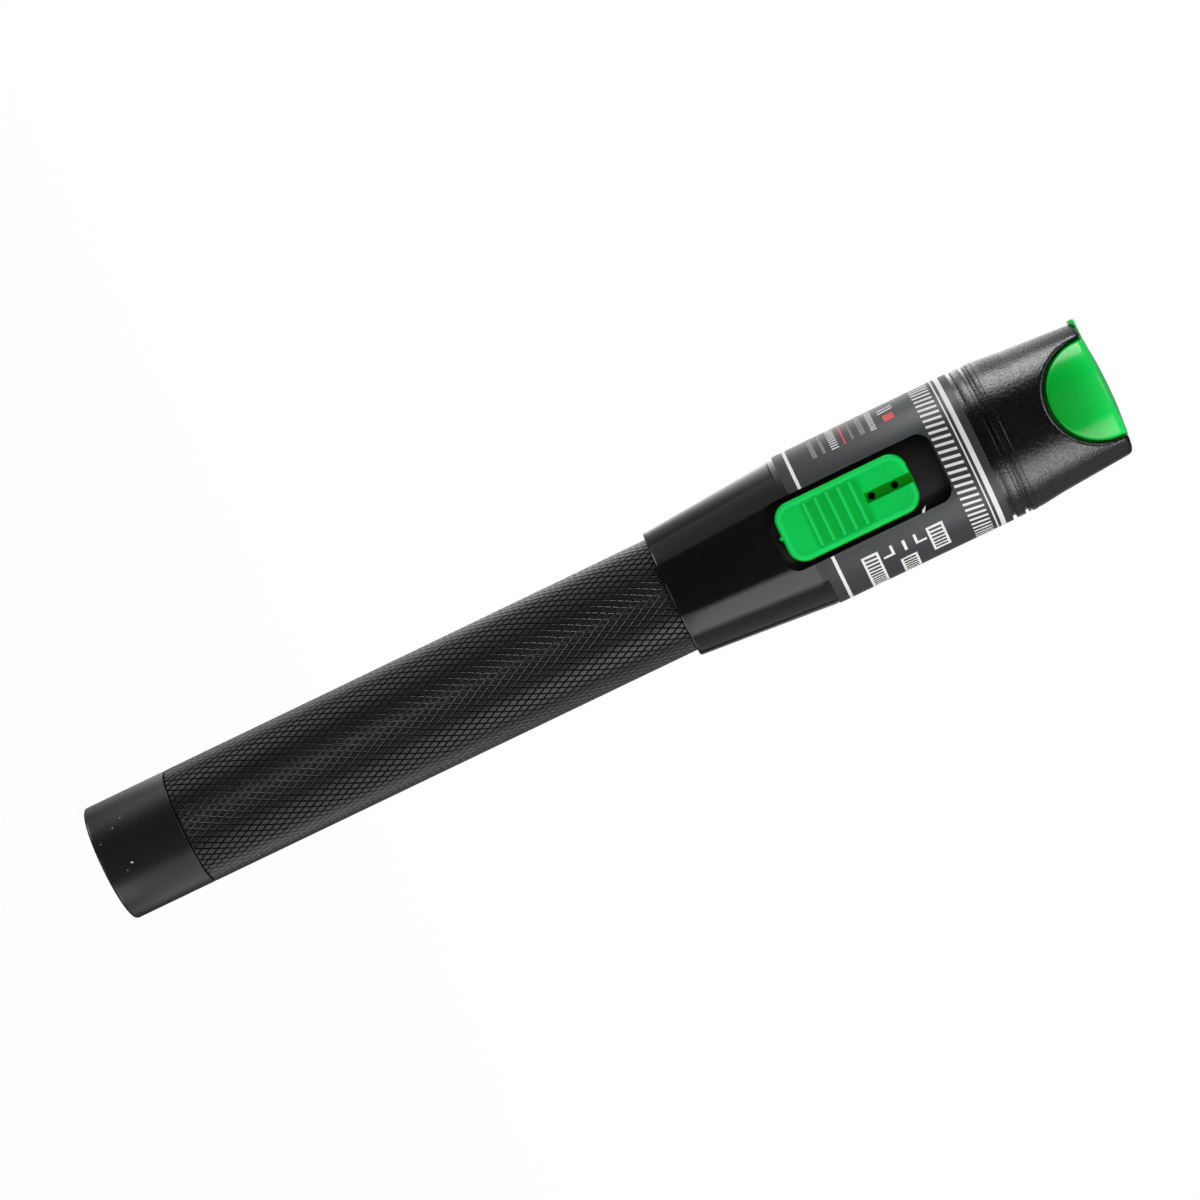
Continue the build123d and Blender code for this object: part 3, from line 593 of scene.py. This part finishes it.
def knurlTree():
    # crossed rows of studs round the axis, cut off square at both ends
    tree, sockets, given = newGroup("barrelKnurl", {
        "Starts": "Int", "Rows": "Int", "Row Pitch": "Float", "Start": "Float", "End": "Float",
        "Stud": "Object", "Finish": "Material"})
    starts, start = given["Starts"], given["Start"]
    points = output(tree, "GeometryNodePoints", {"Count": calc(tree, "MULTIPLY", starts, given["Rows"])})
    index = output(tree, "GeometryNodeInputIndex")
    row = calc(tree, "FLOOR", calc(tree, "DIVIDE", calc(tree, "ADD", index, 0.5), starts))
    column = calc(tree, "SUBTRACT", index, calc(tree, "MULTIPLY", row, starts))
    shift = calc(tree, "MULTIPLY", calc(tree, "MODULO", row, 2.0), 0.5)
    turn = calc(tree, "MULTIPLY", calc(tree, "ADD", column, shift), calc(tree, "DIVIDE", 2 * pi, starts))
    rise = calc(tree, "MULTIPLY", calc(tree, "ADD", row, 0.2), given["Row Pitch"])
    placed = output(tree, "GeometryNodeSetPosition", {
        "Geometry": points, "Position": upTo(tree, calc(tree, "ADD", start, rise))})
    stud = output(tree, "GeometryNodeObjectInfo", {"Object": given["Stud"]}, "Geometry")
    rows = output(tree, "GeometryNodeInstanceOnPoints", {
        "Points": placed, "Instance": stud,
        "Rotation": output(tree, "FunctionNodeEulerToRotation", {"Euler": upTo(tree, turn)})})
    real = output(tree, "GeometryNodeRealizeInstances", {"Geometry": rows})
    place = output(tree, "GeometryNodeInputPosition")
    here = addNode(tree, "ShaderNodeSeparateXYZ", {"Vector": place}).outputs
    clamped = calc(tree, "MAXIMUM", calc(tree, "MINIMUM", here["Z"], given["End"]), start)
    squared = output(tree, "ShaderNodeCombineXYZ", {"X": here["X"], "Y": here["Y"], "Z": clamped})
    closeGroup(tree, given, output(tree, "GeometryNodeSetPosition", {"Geometry": real, "Position": squared}))
    return tree, sockets


def makeBarrel(size):
    piece = spinOutline("knurledBarrel", [
        "sealRoom start", "root start edge", "root end edge", "neck end", "neck grooveStart",
        "grooveFloor grooveStart", "grooveFloor grooveEnd", "neck grooveEnd", "neck neckEnd neckEdge",
        "bore neckEnd", "bore mouthEnd", "mouth mouthEnd", (size["mouth"], size["sealEnd"] + size["lead"]),
        "sealRoom sealEnd"], size)
    stud = lozengeStud(size)
    tree, sockets = knurlTree()
    pitch = size["lozengeLength"] / 2
    applyTree(piece, tree, sockets, {
        "Starts": size["starts"], "Rows": ceil((size["end"] - size["start"]) / pitch) + 1,
        "Row Pitch": pitch * mm, "Start": (size["start"] + size["rearMargin"]) * mm,
        "End": (size["end"] - size["frontMargin"]) * mm, "Stud": stud, "Finish": surfaces["anodisedKnurl"]})
    bpy.data.objects.remove(stud)
    finishPiece(piece, "anodisedKnurl", "pen_body", "knurled_black", "barrel")


makeBarrel(barrel)
print("knurled barrel made")

# head sleeve and its label

sleeve = dict(rear=10.85, radius=12.8, start=100.6, taperEnd=123.3, taperInset=0.02, blend=3.0, land=0.1,
              edge=0.4, frontEdge=0.08, labelStart=124.4, end=155.1, cavity=10.9, cavityStart=116.6,
              bore=7.6, socket=8.9, socketEnd=109.5, sealRoom=9.4, sealEnd=103.0, lead=0.2, slotWidth=11.75,
              slotEnd=148.2, slotStart=119.3, slotCorner=2.3, slotFloor=6.0, film=0.1, filmSink=0.02,
              filmEdge=0.03, filmCorner=0.6)


def makeSleeve(size):
    piece = spinOutline("headSleeve", [
        "sealRoom start", "rear start edge",
        (size["radius"] - size["taperInset"], size["taperEnd"], size["blend"]),
        (size["radius"], size["taperEnd"] + size["land"]), "radius end frontEdge", "cavity end",
        "cavity cavityStart", "bore cavityStart", "bore socketEnd", "socket socketEnd",
        (size["socket"], size["sealEnd"] + size["lead"]), "sealRoom sealEnd"], size, segments=240)
    sides = rectangle(size["slotWidth"] / 2, size["slotStart"], size["slotEnd"])
    contour = roundCorners([(*corner, size["slotCorner"]) for corner in sides], 10)
    carve(piece, prism("slotCutter", contour, -size["radius"] - 2, -size["slotFloor"]), angle=25)
    finishPiece(piece, "sleeveGloss", "pen_body", "gloss_black", "head_body")


def makeLabel(size):
    inner, outer = size["radius"] - size["filmSink"], size["radius"] + size["film"]
    low, high = size["labelStart"], size["slotEnd"]
    piece = spinOutline("labelFilm", [
        (inner, low), (outer, low, size["filmEdge"]), (outer, size["end"], size["filmEdge"]),
        (inner, size["end"])], segments=240, steps=3)
    # the slot's outline, with a rounded corner of film on both sides of its open rear end
    half, corner = size["slotWidth"] / 2, size["filmCorner"]
    mouth = half + corner
    flare = [(mouth + 0.2, low - 1), (mouth + 0.2, low - 0.001), (mouth, low - 0.001)]
    flare += [(mouth - corner * sin(a), low + corner - corner * cos(a)) for a in np.linspace(0.01, pi / 2, 8)]
    front = roundCorners([(half, low), (half, high, size["slotCorner"]), (-half, high, size["slotCorner"]),
                          (-half, low)], 12)
    contour = flare + [tuple(p) for p in front[1:-1]] + [(-x, z) for x, z in flare][::-1]
    carve(piece, prism("filmCutter", contour, -size["radius"] - 2, -size["slotFloor"]), angle=25)
    finishPiece(piece, "labelFilm", "pen_body", "label_grey", "label_wrap")


def makeTornFlake(size):
    # the small pale flake that the photo shows at the slot's +X edge
    contour = [(5.95, 142.2), (5.98, 142.6), (5.7, 142.8), (5.1, 143.2), (5.15, 142.9), (5.55, 142.35)]
    piece = prism("tornFlake", contour, 0.1 - size["radius"], 0.3 - size["radius"])
    finishPiece(piece, "tornChip", "pen_body", "label_grey")


makeSleeve(sleeve)
makeLabel(sleeve)
makeTornFlake(sleeve)
print("head sleeve and label made")

# print on the label: plain fields, lines and bars, with azimuths in degrees from the switch side towards +X

ink = dict(radius=12.9, sink=0.012, lift=0.012, topLift=0.024, step=0.6)


def printedFields(name, finishName, fields, lift=ink["lift"]):
    # each field is (first azimuth, last azimuth, low z, high z, slant)
    radius = ink["radius"]
    inner, outer = radius - ink["sink"], radius + lift
    shape = bmesh.new()
    for first, last, low, high, slant in fields:
        count = max(1, ceil(radians(last - first) * radius / ink["step"]))
        lean = slant / radius
        columns = []
        for step in range(count + 1):
            angle = radians(first + (last - first) * step / count)
            section = ((inner, low, angle), (outer, low, angle), (outer, high, angle + lean),
                       (inner, high, angle + lean))
            columns.append([shape.verts.new((r * sin(a) * mm, -r * cos(a) * mm, z * mm))
                            for r, z, a in section])
        shape.faces.new(columns[0])
        shape.faces.new(columns[-1][::-1])
        for here, after in zip(columns, columns[1:]):
            bridge(shape, here, after)
    finishPiece(toObject(name, shape, 35), finishName, "pen_body", "label_grey")


slotEdge = 180 / pi * asin(sleeve["slotWidth"] / 2 / ink["radius"])
boxRows = ((130.3, 39.7, 86), (136.0, 57.7, 86), (141.6, 39.7, 67))        # low z, first and last azimuth
titleRow = dict(low=148.5, high=151.6, slant=0.5, pitch=10.6, middle=2, bars=((-4.4, -2.3), (0.9, 3.0)))

# the rings, the row of leaning bars, the boxes and the marks between them
whiteFields = [(slotEdge + 0.3, 360 - slotEdge - 0.3, 126.2, 126.75, 0), (0, 360, 152.2, 152.45, 0),
               (0, 360, 152.95, 153.75, 0)]
for mark in range(-8, 9):
    turn = mark * titleRow["pitch"] + titleRow["middle"]
    whiteFields += [(turn + first, turn + last, titleRow["low"], titleRow["high"], titleRow["slant"])
                    for first, last in titleRow["bars"]]
whiteFields += [(first, last, z, z + 2.9, 0) for z, first, last in boxRows]
whiteFields += [(40.5, 50.5, 137.3, 137.8, 0), (40, 49.5, 135.2, 135.65, 0), (40, 49.5, 139.3, 139.75, 0),
                (47.5, 49.5, 133.7, 135.3, 0), (47.5, 49.5, 139.6, 141.2, 0)]
printedFields("whitePrint", "printWhite", whiteFields)

# plain dark bars in the boxes
boxSigns = [(turn, turn + 2.2, z + 0.4, z + 2.5, 0.1) for z, first, last in boxRows
            for turn in np.arange(first + 2, min(last - 3, 80), 4.0)]
printedFields("boxSigns", "signDark", boxSigns, ink["topLift"])

# small rows of bars on the other side: low z, height, bar width and pitch in degrees, last azimuth, finish
smallRows = (
    (130.4, 0.8, 0.7, 1.6, -47, "printGrey"), (132.2, 0.5, 0.6, 1.4, -47, "printGrey"),
    (137.3, 0.4, 0.5, 1.3, -48, "printGrey"), (138.8, 0.9, 0.7, 1.6, -48, "printGrey"),
    (140.6, 1.0, 1.0, 2.4, -47, "printWhite"), (133.7, 1.3, 1.2, 3.0, -46.5, "printWhite"))
rowFields = {"printGrey": [],
             "printWhite": [(-63, -61.5, 142.6, 145.2, -0.3), (-67.5, -66, 142.6, 145.2, -0.3)]}
for z, height, width, pitch, last, finishName in smallRows:
    rowFields[finishName] += [(turn - width, turn, z, z + height, 0.05)
                              for turn in np.arange(last, -86, -pitch)]
printedFields("smallPrint", "printGrey", rowFields["printGrey"])
printedFields("boldPrint", "printWhite", rowFields["printWhite"])
printedFields("redPrint", "printRed", [(-78, -46.5, 135.95, 136.2, 0), (-57, -49.5, 143.1, 144.9, 0)])
print("label print made")

# slide button

button = dict(width=10.0, length=22.8, start=120.5, corner=2.9, top=12.75, edge=0.7, floor=6.0, border=0.95,
              panelDepth=0.12, panelEase=(-0.12, 0.12), gripWidth=8.3, gripLength=10.6, gripStart=4.4,
              gripDepth=0.3, gripCorner=1.0, gripEase=(-0.3, 0.9), ribs=5, ribPitch=1.975, ribWidth=0.57,
              ribLength=7.5, ribStart=5.4, ribEase=(-0.14, 0.2), grooveWidth=1.65, grooveLength=8.1,
              grooveDepth=0.6, grooveEase=(-0.08, 0.08), holeRadius=0.6, holePitch=4.0, holeInset=1.0,
              nib=0.4, nibDepth=0.55, saddle=11.05, stem=3.2, stemStart=7.95, actuator=2.2, cell=0.11)


def makeButton(size):
    width, length, top = size["width"], size["length"], size["top"]
    start, end = size["start"], size["start"] + length
    centreZ = start + length / 2
    gripZ = start + size["gripStart"] + size["gripLength"] / 2
    grooveStart = end - size["grooveLength"]

    def outline(x, z):
        return boxDistance(x, z - centreZ, width, length, size["corner"])

    def height(x, z):
        level = quarterRound(top, np.maximum(-outline(x, z), 0), size["edge"])
        border = size["border"]
        panel = boxDistance(x, z - centreZ, width - 2 * border, length - 2 * border, size["corner"] - border)
        level = level - size["panelDepth"] * easeStep(-panel, *size["panelEase"])
        grip = boxDistance(x, z - gripZ, size["gripWidth"], size["gripLength"], size["gripCorner"])
        level = level - (size["gripDepth"] - size["panelDepth"]) * easeStep(-grip, *size["gripEase"])
        for rib in range(size["ribs"]):
            ribZ = start + size["ribStart"] + rib * size["ribPitch"]
            bar = boxDistance(x, z - ribZ, size["ribLength"], size["ribWidth"], size["ribWidth"] / 2 - 0.001)
            level = level + size["gripDepth"] * easeStep(-bar, *size["ribEase"])
        # the groove runs on past the button's front end
        groove = boxDistance(x, z - grooveStart - size["grooveLength"] / 2 - 1, size["grooveWidth"],
                             size["grooveLength"] + 2, 0.1)
        sunk = np.minimum(top - size["grooveDepth"], level)
        return level + (sunk - level) * easeStep(-groove, *size["grooveEase"])

    piece = mouldedField("slideButton", outline, height, (-width / 2, width / 2, start, end), size["cell"],
                         -size["floor"], angle=60)
    carve(piece, spinOutline("saddleCutter", tubeOutline(0, size["saddle"], start - 2, end + 2)), angle=60)
    for hole in range(2):
        z = grooveStart + size["holeInset"] + hole * size["holePitch"]
        contour = [(size["holeRadius"] * cos(a), z + size["holeRadius"] * sin(a))
                   for a in np.linspace(0, 2 * pi, 25)[:-1]]
        carve(piece, prism("holeCutter", contour, -top - 1, -size["floor"]), angle=60)
    stemHalf, gapHalf = size["stem"] / 2, size["actuator"] / 2
    post = prism("buttonPost", rectangle(stemHalf, centreZ - stemHalf, centreZ + stemHalf),
                 -size["saddle"] - 0.3, -size["stemStart"])
    carve(post, prism("postRoom", rectangle(gapHalf, centreZ - gapHalf, centreZ + gapHalf),
                      -size["saddle"] - 0.05, -size["stemStart"] + 1))
    joinInto(piece, post)
    nib = bmesh.new()
    place = Vector((0, size["nibDepth"] - top, start + 0.05)) * mm
    bmesh.ops.create_icosphere(nib, subdivisions=3, radius=size["nib"] * mm, matrix=Matrix.Translation(place))
    joinInto(piece, toObject("gateNib", nib, 35))
    finishPiece(piece, "switchGreen", "switch_slider", "switch_green", "slide_button")


makeButton(button)
print("slide button made")

# nose collar

collar = dict(radius=12.85, start=155.8, end=157.3, edge=0.12, neck=12.3, shellStart=157.9, headEnd=155.1,
              spigot=10.8, spigotStart=151.1, grooveStart=152.3, grooveEnd=153.0, grooveFloor=10.3, hub=9.6,
              hubEnd=161.5, hubEdge=0.2, port=4.1, holder=4.7, pocketEnd=152.4, keyWidth=10.0, keyEdge=0.06,
              keyDepth=0.3, keyOverlap=0.2)


def makeCollar(size):
    piece = spinOutline("noseCollar", [
        "port pocketEnd", "holder pocketEnd", "holder spigotStart", "spigot spigotStart",
        "spigot grooveStart", "grooveFloor grooveStart", "grooveFloor grooveEnd", "spigot grooveEnd",
        "spigot headEnd", "neck headEnd", "neck start", "radius start edge", "radius end edge", "neck end",
        "neck shellStart", "hub shellStart", "hub hubEnd hubEdge", "port hubEnd"], size, 240, 3)
    root, top = size["neck"] - size["keyDepth"], size["start"] + size["keyOverlap"]
    key = spinOutline("keyTab", [
        (root, size["headEnd"]), "radius headEnd keyEdge", (size["radius"], top), (root, top)], size, 240, 2)
    band = rectangle(size["keyWidth"] / 2, size["headEnd"] - 1, size["start"] + 1)
    carve(key, prism("keyRange", band, -15, -6), "INTERSECT")
    joinInto(piece, key)
    finishPiece(piece, "sparkTexture", "pen_body", "textured_black", "nose_collar")


makeCollar(collar)
print("nose collar made")

# front shell

shell = dict(start=157.9, band=12.9, bandLength=2.3, bandSlope=4.0, bandBlend=3.0, coneBlend=6.0, lip=0.1,
             lipEdge=0.1, bandEdge=0.15, lineStart=0.35, lineEnd=0.62, lineDepth=0.35, lineSlope=0.07,
             ridge=159.3, ridgeStep=0.12, ridgeDrop=0.09, ridgeEdge=0.06, rear=12.35, front=11.4, end=177.0,
             wall=1.25, hubRoom=9.7, hubEnd=161.5, notch=8.65, notchInset=1.25, earCorner=0.5,
             frontEdge=1.0, rim=0.75)
notchZ = shell["end"] - shell["notchInset"]


def shellRadius(z):
    # outer radius of the shell's cone at height z
    low = shell["start"] + shell["bandLength"] + shell["bandSlope"]
    return shell["rear"] + (shell["front"] - shell["rear"]) * (z - low) / (shell["end"] - low)


def notchContour(radius, corner, steps=48):
    # from the +X mouth down round the notch to the -X mouth
    ear = [(radius + corner - corner * sin(a), shell["end"] - corner + corner * cos(a))
           for a in np.linspace(0, pi / 2, 7)]
    bowl = [(radius * cos(a), notchZ - radius * sin(a)) for a in np.linspace(0, pi, steps + 1)]
    return ear + bowl + [(-x, z) for x, z in ear][::-1]


def notchRim(size):
    # a cutter that rounds the outer edge of both notches: its concave side is a quarter circle along the edge
    radius, steps, outside, inside = size["rim"], 8, 1.2, 0.5
    inner = notchContour(size["notch"], 0.02, 96)
    path = []
    for index, (x, z) in enumerate(inner):
        nextX, nextZ = inner[min(index + 1, len(inner) - 1)]
        lastX, lastZ = inner[max(index - 1, 0)]
        away = Vector((lastZ - nextZ, 0, nextX - lastX)).normalized()
        if away.dot(Vector((x, 0, z - size["end"]))) < 0:
            away.negate()
        path.append((Vector((x, 0, z)), away))
    path.insert(0, (path[0][0] + Vector((0, 0, 2)), Vector((1, 0, 0))))
    path.append((path[-1][0] + Vector((0, 0, 2)), Vector((-1, 0, 0))))
    shape = bmesh.new()
    for side in (-1, 1):
        loops = []
        for place, away in path:
            section = []
            for step in range(steps + 1):
                turn = pi / 2 * step / steps
                out = place + away * radius * (1 - cos(turn))
                surface = sqrt(max(shellRadius(min(out.z, size["end"])) ** 2 - out.x ** 2, 0.01))
                section.append(Vector((out.x, side * (surface - radius * (1 - sin(turn))), out.z)))
            far, near = place + away * radius, place - away * inside
            beyond = side * (abs(section[-1].y) + outside)
            section += [Vector((far.x, beyond, far.z)), Vector((near.x, beyond, near.z)),
                        Vector((near.x, section[0].y, near.z))]
            loops.append([shape.verts.new(p * mm) for p in section])
        for low, high in zip(loops, loops[1:]):
            bridge(shape, low, high)
        shape.faces.new(loops[0])
        shape.faces.new(loops[-1][::-1])
    return toObject("notchRim", shape)


def makeShell(size):
    start, band, ridge = size["start"], size["band"], size["ridge"]
    bandEnd = start + size["bandLength"]
    floor = band - size["lineDepth"]
    lineStart, lineEnd = start + size["lineStart"], start + size["lineEnd"]
    piece = spinOutline("frontShell", [
        (size["hubRoom"], start), (band - size["lip"], start, size["bandEdge"]),
        (band - size["lip"], lineStart, size["lipEdge"]), (floor, lineStart + size["lineSlope"]),
        (floor, lineEnd - size["lineSlope"]), (band, lineEnd, size["bandEdge"]),
        (band, ridge, size["ridgeEdge"]),
        (band - size["ridgeDrop"], ridge + size["ridgeStep"], size["ridgeEdge"]),
        (band - size["lip"], bandEnd, size["bandBlend"]),
        (size["rear"], bandEnd + size["bandSlope"], size["coneBlend"]), "front end frontEdge",
        (size["front"] - size["wall"], size["end"], 0.1),
        (size["rear"] - size["wall"], size["hubEnd"] + size["wall"]),
        (size["hubRoom"], size["hubEnd"] + 0.1)], size, segments=240, steps=5)
    contour = notchContour(size["notch"], size["earCorner"])
    contour += [(contour[-1][0], size["end"] + 1), (contour[0][0], size["end"] + 1)]
    carve(piece, prism("notchCutter", contour, -16, 16), angle=30)
    carve(piece, notchRim(size), angle=40)
    finishPiece(piece, "sparkTexture", "pen_body", "textured_black", "front_shell")


makeShell(shell)
print("front shell made")

# dust cap

cap = dict(padRadius=8.25, padRear=12.0, padFront=11.05, end=177.15, lip=1.1, edge=0.4, dome=177.7,
           domeEdge=0.2, domeRise=0.08, domeFall=0.1, coreRadius=9.8, coreStart=166.5, ringEnd=173.7,
           bore=4.35, boreEnd=174.0, tube=5.75, ringRoom=8.25, tabReach=12.0, tabRoot=7.0, tabWidth=5.0,
           tabStart=177.02, tabThickness=0.3, tabCorner=0.7, hookInset=0.5, hookOverlap=0.1,
           earRound=10.42, cell=0.16)


def makeTab(size):
    # flat pull tab towards -X
    half, root, reach, corner = size["tabWidth"] / 2, -size["tabRoot"], -size["tabReach"], size["tabCorner"]
    contour = roundCorners([(root, -half), (reach, -half, corner), (reach, half, corner), (root, half)], 6)
    shape = bmesh.new()
    low, high = ([shape.verts.new((p.x * mm, p.y * mm, z * mm)) for p in contour]
                 for z in (size["tabStart"], size["tabStart"] + size["tabThickness"]))
    shape.faces.new(low)
    shape.faces.new(high[::-1])
    bridge(shape, low, high)
    return toObject("pullTab", shape)


def makeHook(size):
    # the tab's end, which follows the rounded edge of the ear
    edge, top = shell["frontEdge"], size["tabStart"] + size["hookOverlap"]
    inner = [(-(size["earRound"] + edge * cos(a)) - 0.1, shell["end"] - edge + edge * sin(a))
             for a in np.linspace(0.3, 1.35, 6)]
    outer = 0.05 - size["tabReach"]
    half = size["tabWidth"] / 2 - size["hookInset"]
    return prism("tabHook", [(outer, inner[0][1])] + inner + [(inner[-1][0], top), (outer, top)], -half, half)


def makeDustCap(size):
    pad, end = size["padRadius"], size["end"]

    def outline(x, z):
        side = np.where(z < notchZ, np.hypot(x, z - notchZ), np.abs(x)) - pad
        return np.maximum(side, z - end)

    def height(x, z):
        share = (z - notchZ + pad) / (shell["end"] - notchZ + pad)
        radius = size["padRear"] + (size["padFront"] - size["padRear"]) * share
        radius = quarterRound(radius, end - z, size["lip"])
        side = pad - np.where(z < notchZ, np.hypot(x, z - notchZ), np.abs(x))
        radius = quarterRound(radius, side, size["edge"])
        return np.sqrt(np.maximum(radius ** 2 - x ** 2, 1))

    piece = mouldedField("dustCap", outline, height, (-pad, pad, notchZ - pad, end), size["cell"])
    core, dome = size["coreRadius"], size["dome"]
    carve(piece, spinOutline("capCore", [
        (0, size["coreStart"]), "coreRadius coreStart", (core, end - size["domeEdge"], size["domeEdge"]),
        (core * 0.9, end + size["domeRise"]), (core * 0.55, dome - size["domeFall"]), (0, dome)],
        size, 120), "UNION", 50)
    carve(piece, makeTab(size), "UNION", 50)
    carve(piece, makeHook(size), "UNION", 50)
    start = notchZ - pad - 2
    for name, rim in (("boreCutter", (0, size["bore"], start, size["boreEnd"])),
                      ("ringCutter", (size["tube"], size["ringRoom"], start, size["ringEnd"]))):
        carve(piece, spinOutline(name, tubeOutline(*rim), segments=96), angle=50)
    finishPiece(piece, "capGreen", "dust_cover", "cap_green", "dust_cap")


makeDustCap(cap)
print("dust cap made")

# floor, world and lamps

studio = dict(floorSize=3.0, floorShade=0.8, floorGlow=0.97, glowNear=0.05, glowFar=0.5, mirrorShade=0.95,
              mirrorRough=0.06, ambient=0.22, whiteSide=(-0.6, 0.8), behind=2.8, falloff=3.5, above=0.2,
              aboveStart=0.05, aboveEnd=0.14, before=0.006)
white = (1, 1, 1, 1)


def grey(shade):
    return (shade, shade, shade, 1)


def mixShaders(tree, share, first, second):
    mixed = addNode(tree, "ShaderNodeMixShader", {"Fac": share})
    tree.links.new(first, mixed.inputs[1])
    tree.links.new(second, mixed.inputs[2])
    return mixed.outputs["Shader"]


def makeFloor(light):
    # pale paper for the camera and for diffuse light, a mirror of the studio for reflections
    half = light["floorSize"] / 2
    shape = bmesh.new()
    shape.faces.new([shape.verts.new((x, y, 0)) for x, y in rectangle(half, -half, half)])
    floor = toObject("floorPlane", shape, outward=False)
    surface, tree = newSurface("floorPaper")[:2]
    tree.nodes.clear()
    path = addNode(tree, "ShaderNodeLightPath").outputs
    paper = output(tree, "ShaderNodeBsdfDiffuse", {"Color": grey(light["floorShade"])})
    glow = output(tree, "ShaderNodeEmission", {"Color": white})
    away = output(tree, "ShaderNodeVectorMath", {0: objectPoint(tree)}, "Value", operation="LENGTH")
    glowShare = between(tree, away, light["floorGlow"], 1.0, light["glowNear"], light["glowFar"])
    seen = mixShaders(tree, calc(tree, "MULTIPLY", path["Is Camera Ray"], glowShare), paper, glow)
    mirror = output(tree, "ShaderNodeBsdfGlossy", {
        "Color": grey(light["mirrorShade"]), "Roughness": light["mirrorRough"]})
    reflected = calc(tree, "MAXIMUM", path["Is Glossy Ray"], path["Is Transmission Ray"])
    addNode(tree, "ShaderNodeOutputMaterial", {"Surface": mixShaders(tree, reflected, seen, mirror)})
    floor.data.materials.append(surface)


def makeWorld(light):
    # white behind the pen, dark on the viewer's side for reflections, an even grey for diffuse light
    world = bpy.data.worlds.new("studioWorld")
    bpy.context.scene.world = world
    world.use_nodes = True
    tree = world.node_tree
    tree.nodes.clear()
    direction = output(tree, "ShaderNodeTexCoord", name="Generated")
    facing = output(tree, "ShaderNodeVectorMath", {0: direction, 1: (*light["whiteSide"], 0)}, "Value",
                    operation="DOT_PRODUCT")
    fading = calc(tree, "POWER", calc(tree, "MAXIMUM", facing, 0.0), light["falloff"])
    height = output(tree, "ShaderNodeSeparateXYZ", {"Vector": direction}, "Z")
    higher = between(tree, height, light["behind"], light["behind"] * light["above"],
                     light["aboveStart"], light["aboveEnd"])
    behind = calc(tree, "ADD", calc(tree, "MULTIPLY", fading, higher), light["before"])
    path = addNode(tree, "ShaderNodeLightPath").outputs
    seen = calc(tree, "MAXIMUM", path["Is Glossy Ray"], path["Is Transmission Ray"])
    mirror = output(tree, "ShaderNodeMixRGB", {
        "Fac": seen, "Color1": grey(light["ambient"]), "Color2": behind})
    whole = output(tree, "ShaderNodeMixRGB", {
        "Fac": path["Is Camera Ray"], "Color1": mirror, "Color2": white})
    back = output(tree, "ShaderNodeBackground", {"Color": whole})
    addNode(tree, "ShaderNodeOutputWorld", {"Surface": back})


def makeLamp(name, first, last, distance, low, high, brightness):
    # a standing soft box between two azimuths, in degrees from the viewer's side (-Y) towards +X
    lamp = bpy.data.objects.new(name, bpy.data.lights.new(name, "AREA"))
    bpy.context.scene.collection.objects.link(lamp)
    lamp.data.shape = "RECTANGLE"
    lamp.data.size = 2 * distance * tan(radians(abs(last - first) / 2))
    lamp.data.size_y = high - low
    lamp.data.energy = brightness * pi * lamp.data.size * lamp.data.size_y
    angle = radians((first + last) / 2)
    outward = Vector((sin(angle), -cos(angle), 0))
    upright = Vector((0, 0, 1))
    lamp.matrix_world = standing(outward * distance + upright * (low + high) / 2, -outward, upright)
    lamp.visible_camera = False
    return lamp


lamps = {
    # first and last azimuth, distance, low and high edge, brightness
    "rightLow": (45, 90, 0.35, 0.0, 0.085, 1.0),
    "rightTail": (86, 128, 0.2, 0.0, 0.042, 1.0),
    "rightSleeve": (49, 84, 0.2, 0.045, 0.11, 1.3),
    "rightMiddle": (49, 86, 0.35, 0.085, 0.165, 1.5),
    "rightHigh": (50, 90, 0.35, 0.165, 0.27, 7.0),
    "rightFar": (88, 140, 0.4, 0.0, 0.45, 0.3),
    "leftHigh": (-69, -100, 0.35, 0.165, 0.265, 11.5),
    "leftMiddle": (-56, -100, 0.35, 0.085, 0.165, 0.3),
    "leftLow": (-56, -100, 0.35, 0.0, 0.085, 0.35),
    "leftTail": (-68, -98, 0.2, 0.0, 0.045, 0.9),
    "highFront": (-30, 30, 0.35, 0.5, 0.95, 5.0),
    "frontFill": (-25, 35, 1.2, 0.1, 1.3, 1.4),
}
makeFloor(studio)
makeWorld(studio)
lampsMade = {name: makeLamp(name, *values) for name, values in lamps.items()}
lampsMade["highFront"].visible_diffuse = False
lampsMade["frontFill"].visible_glossy = False
print("studio made")
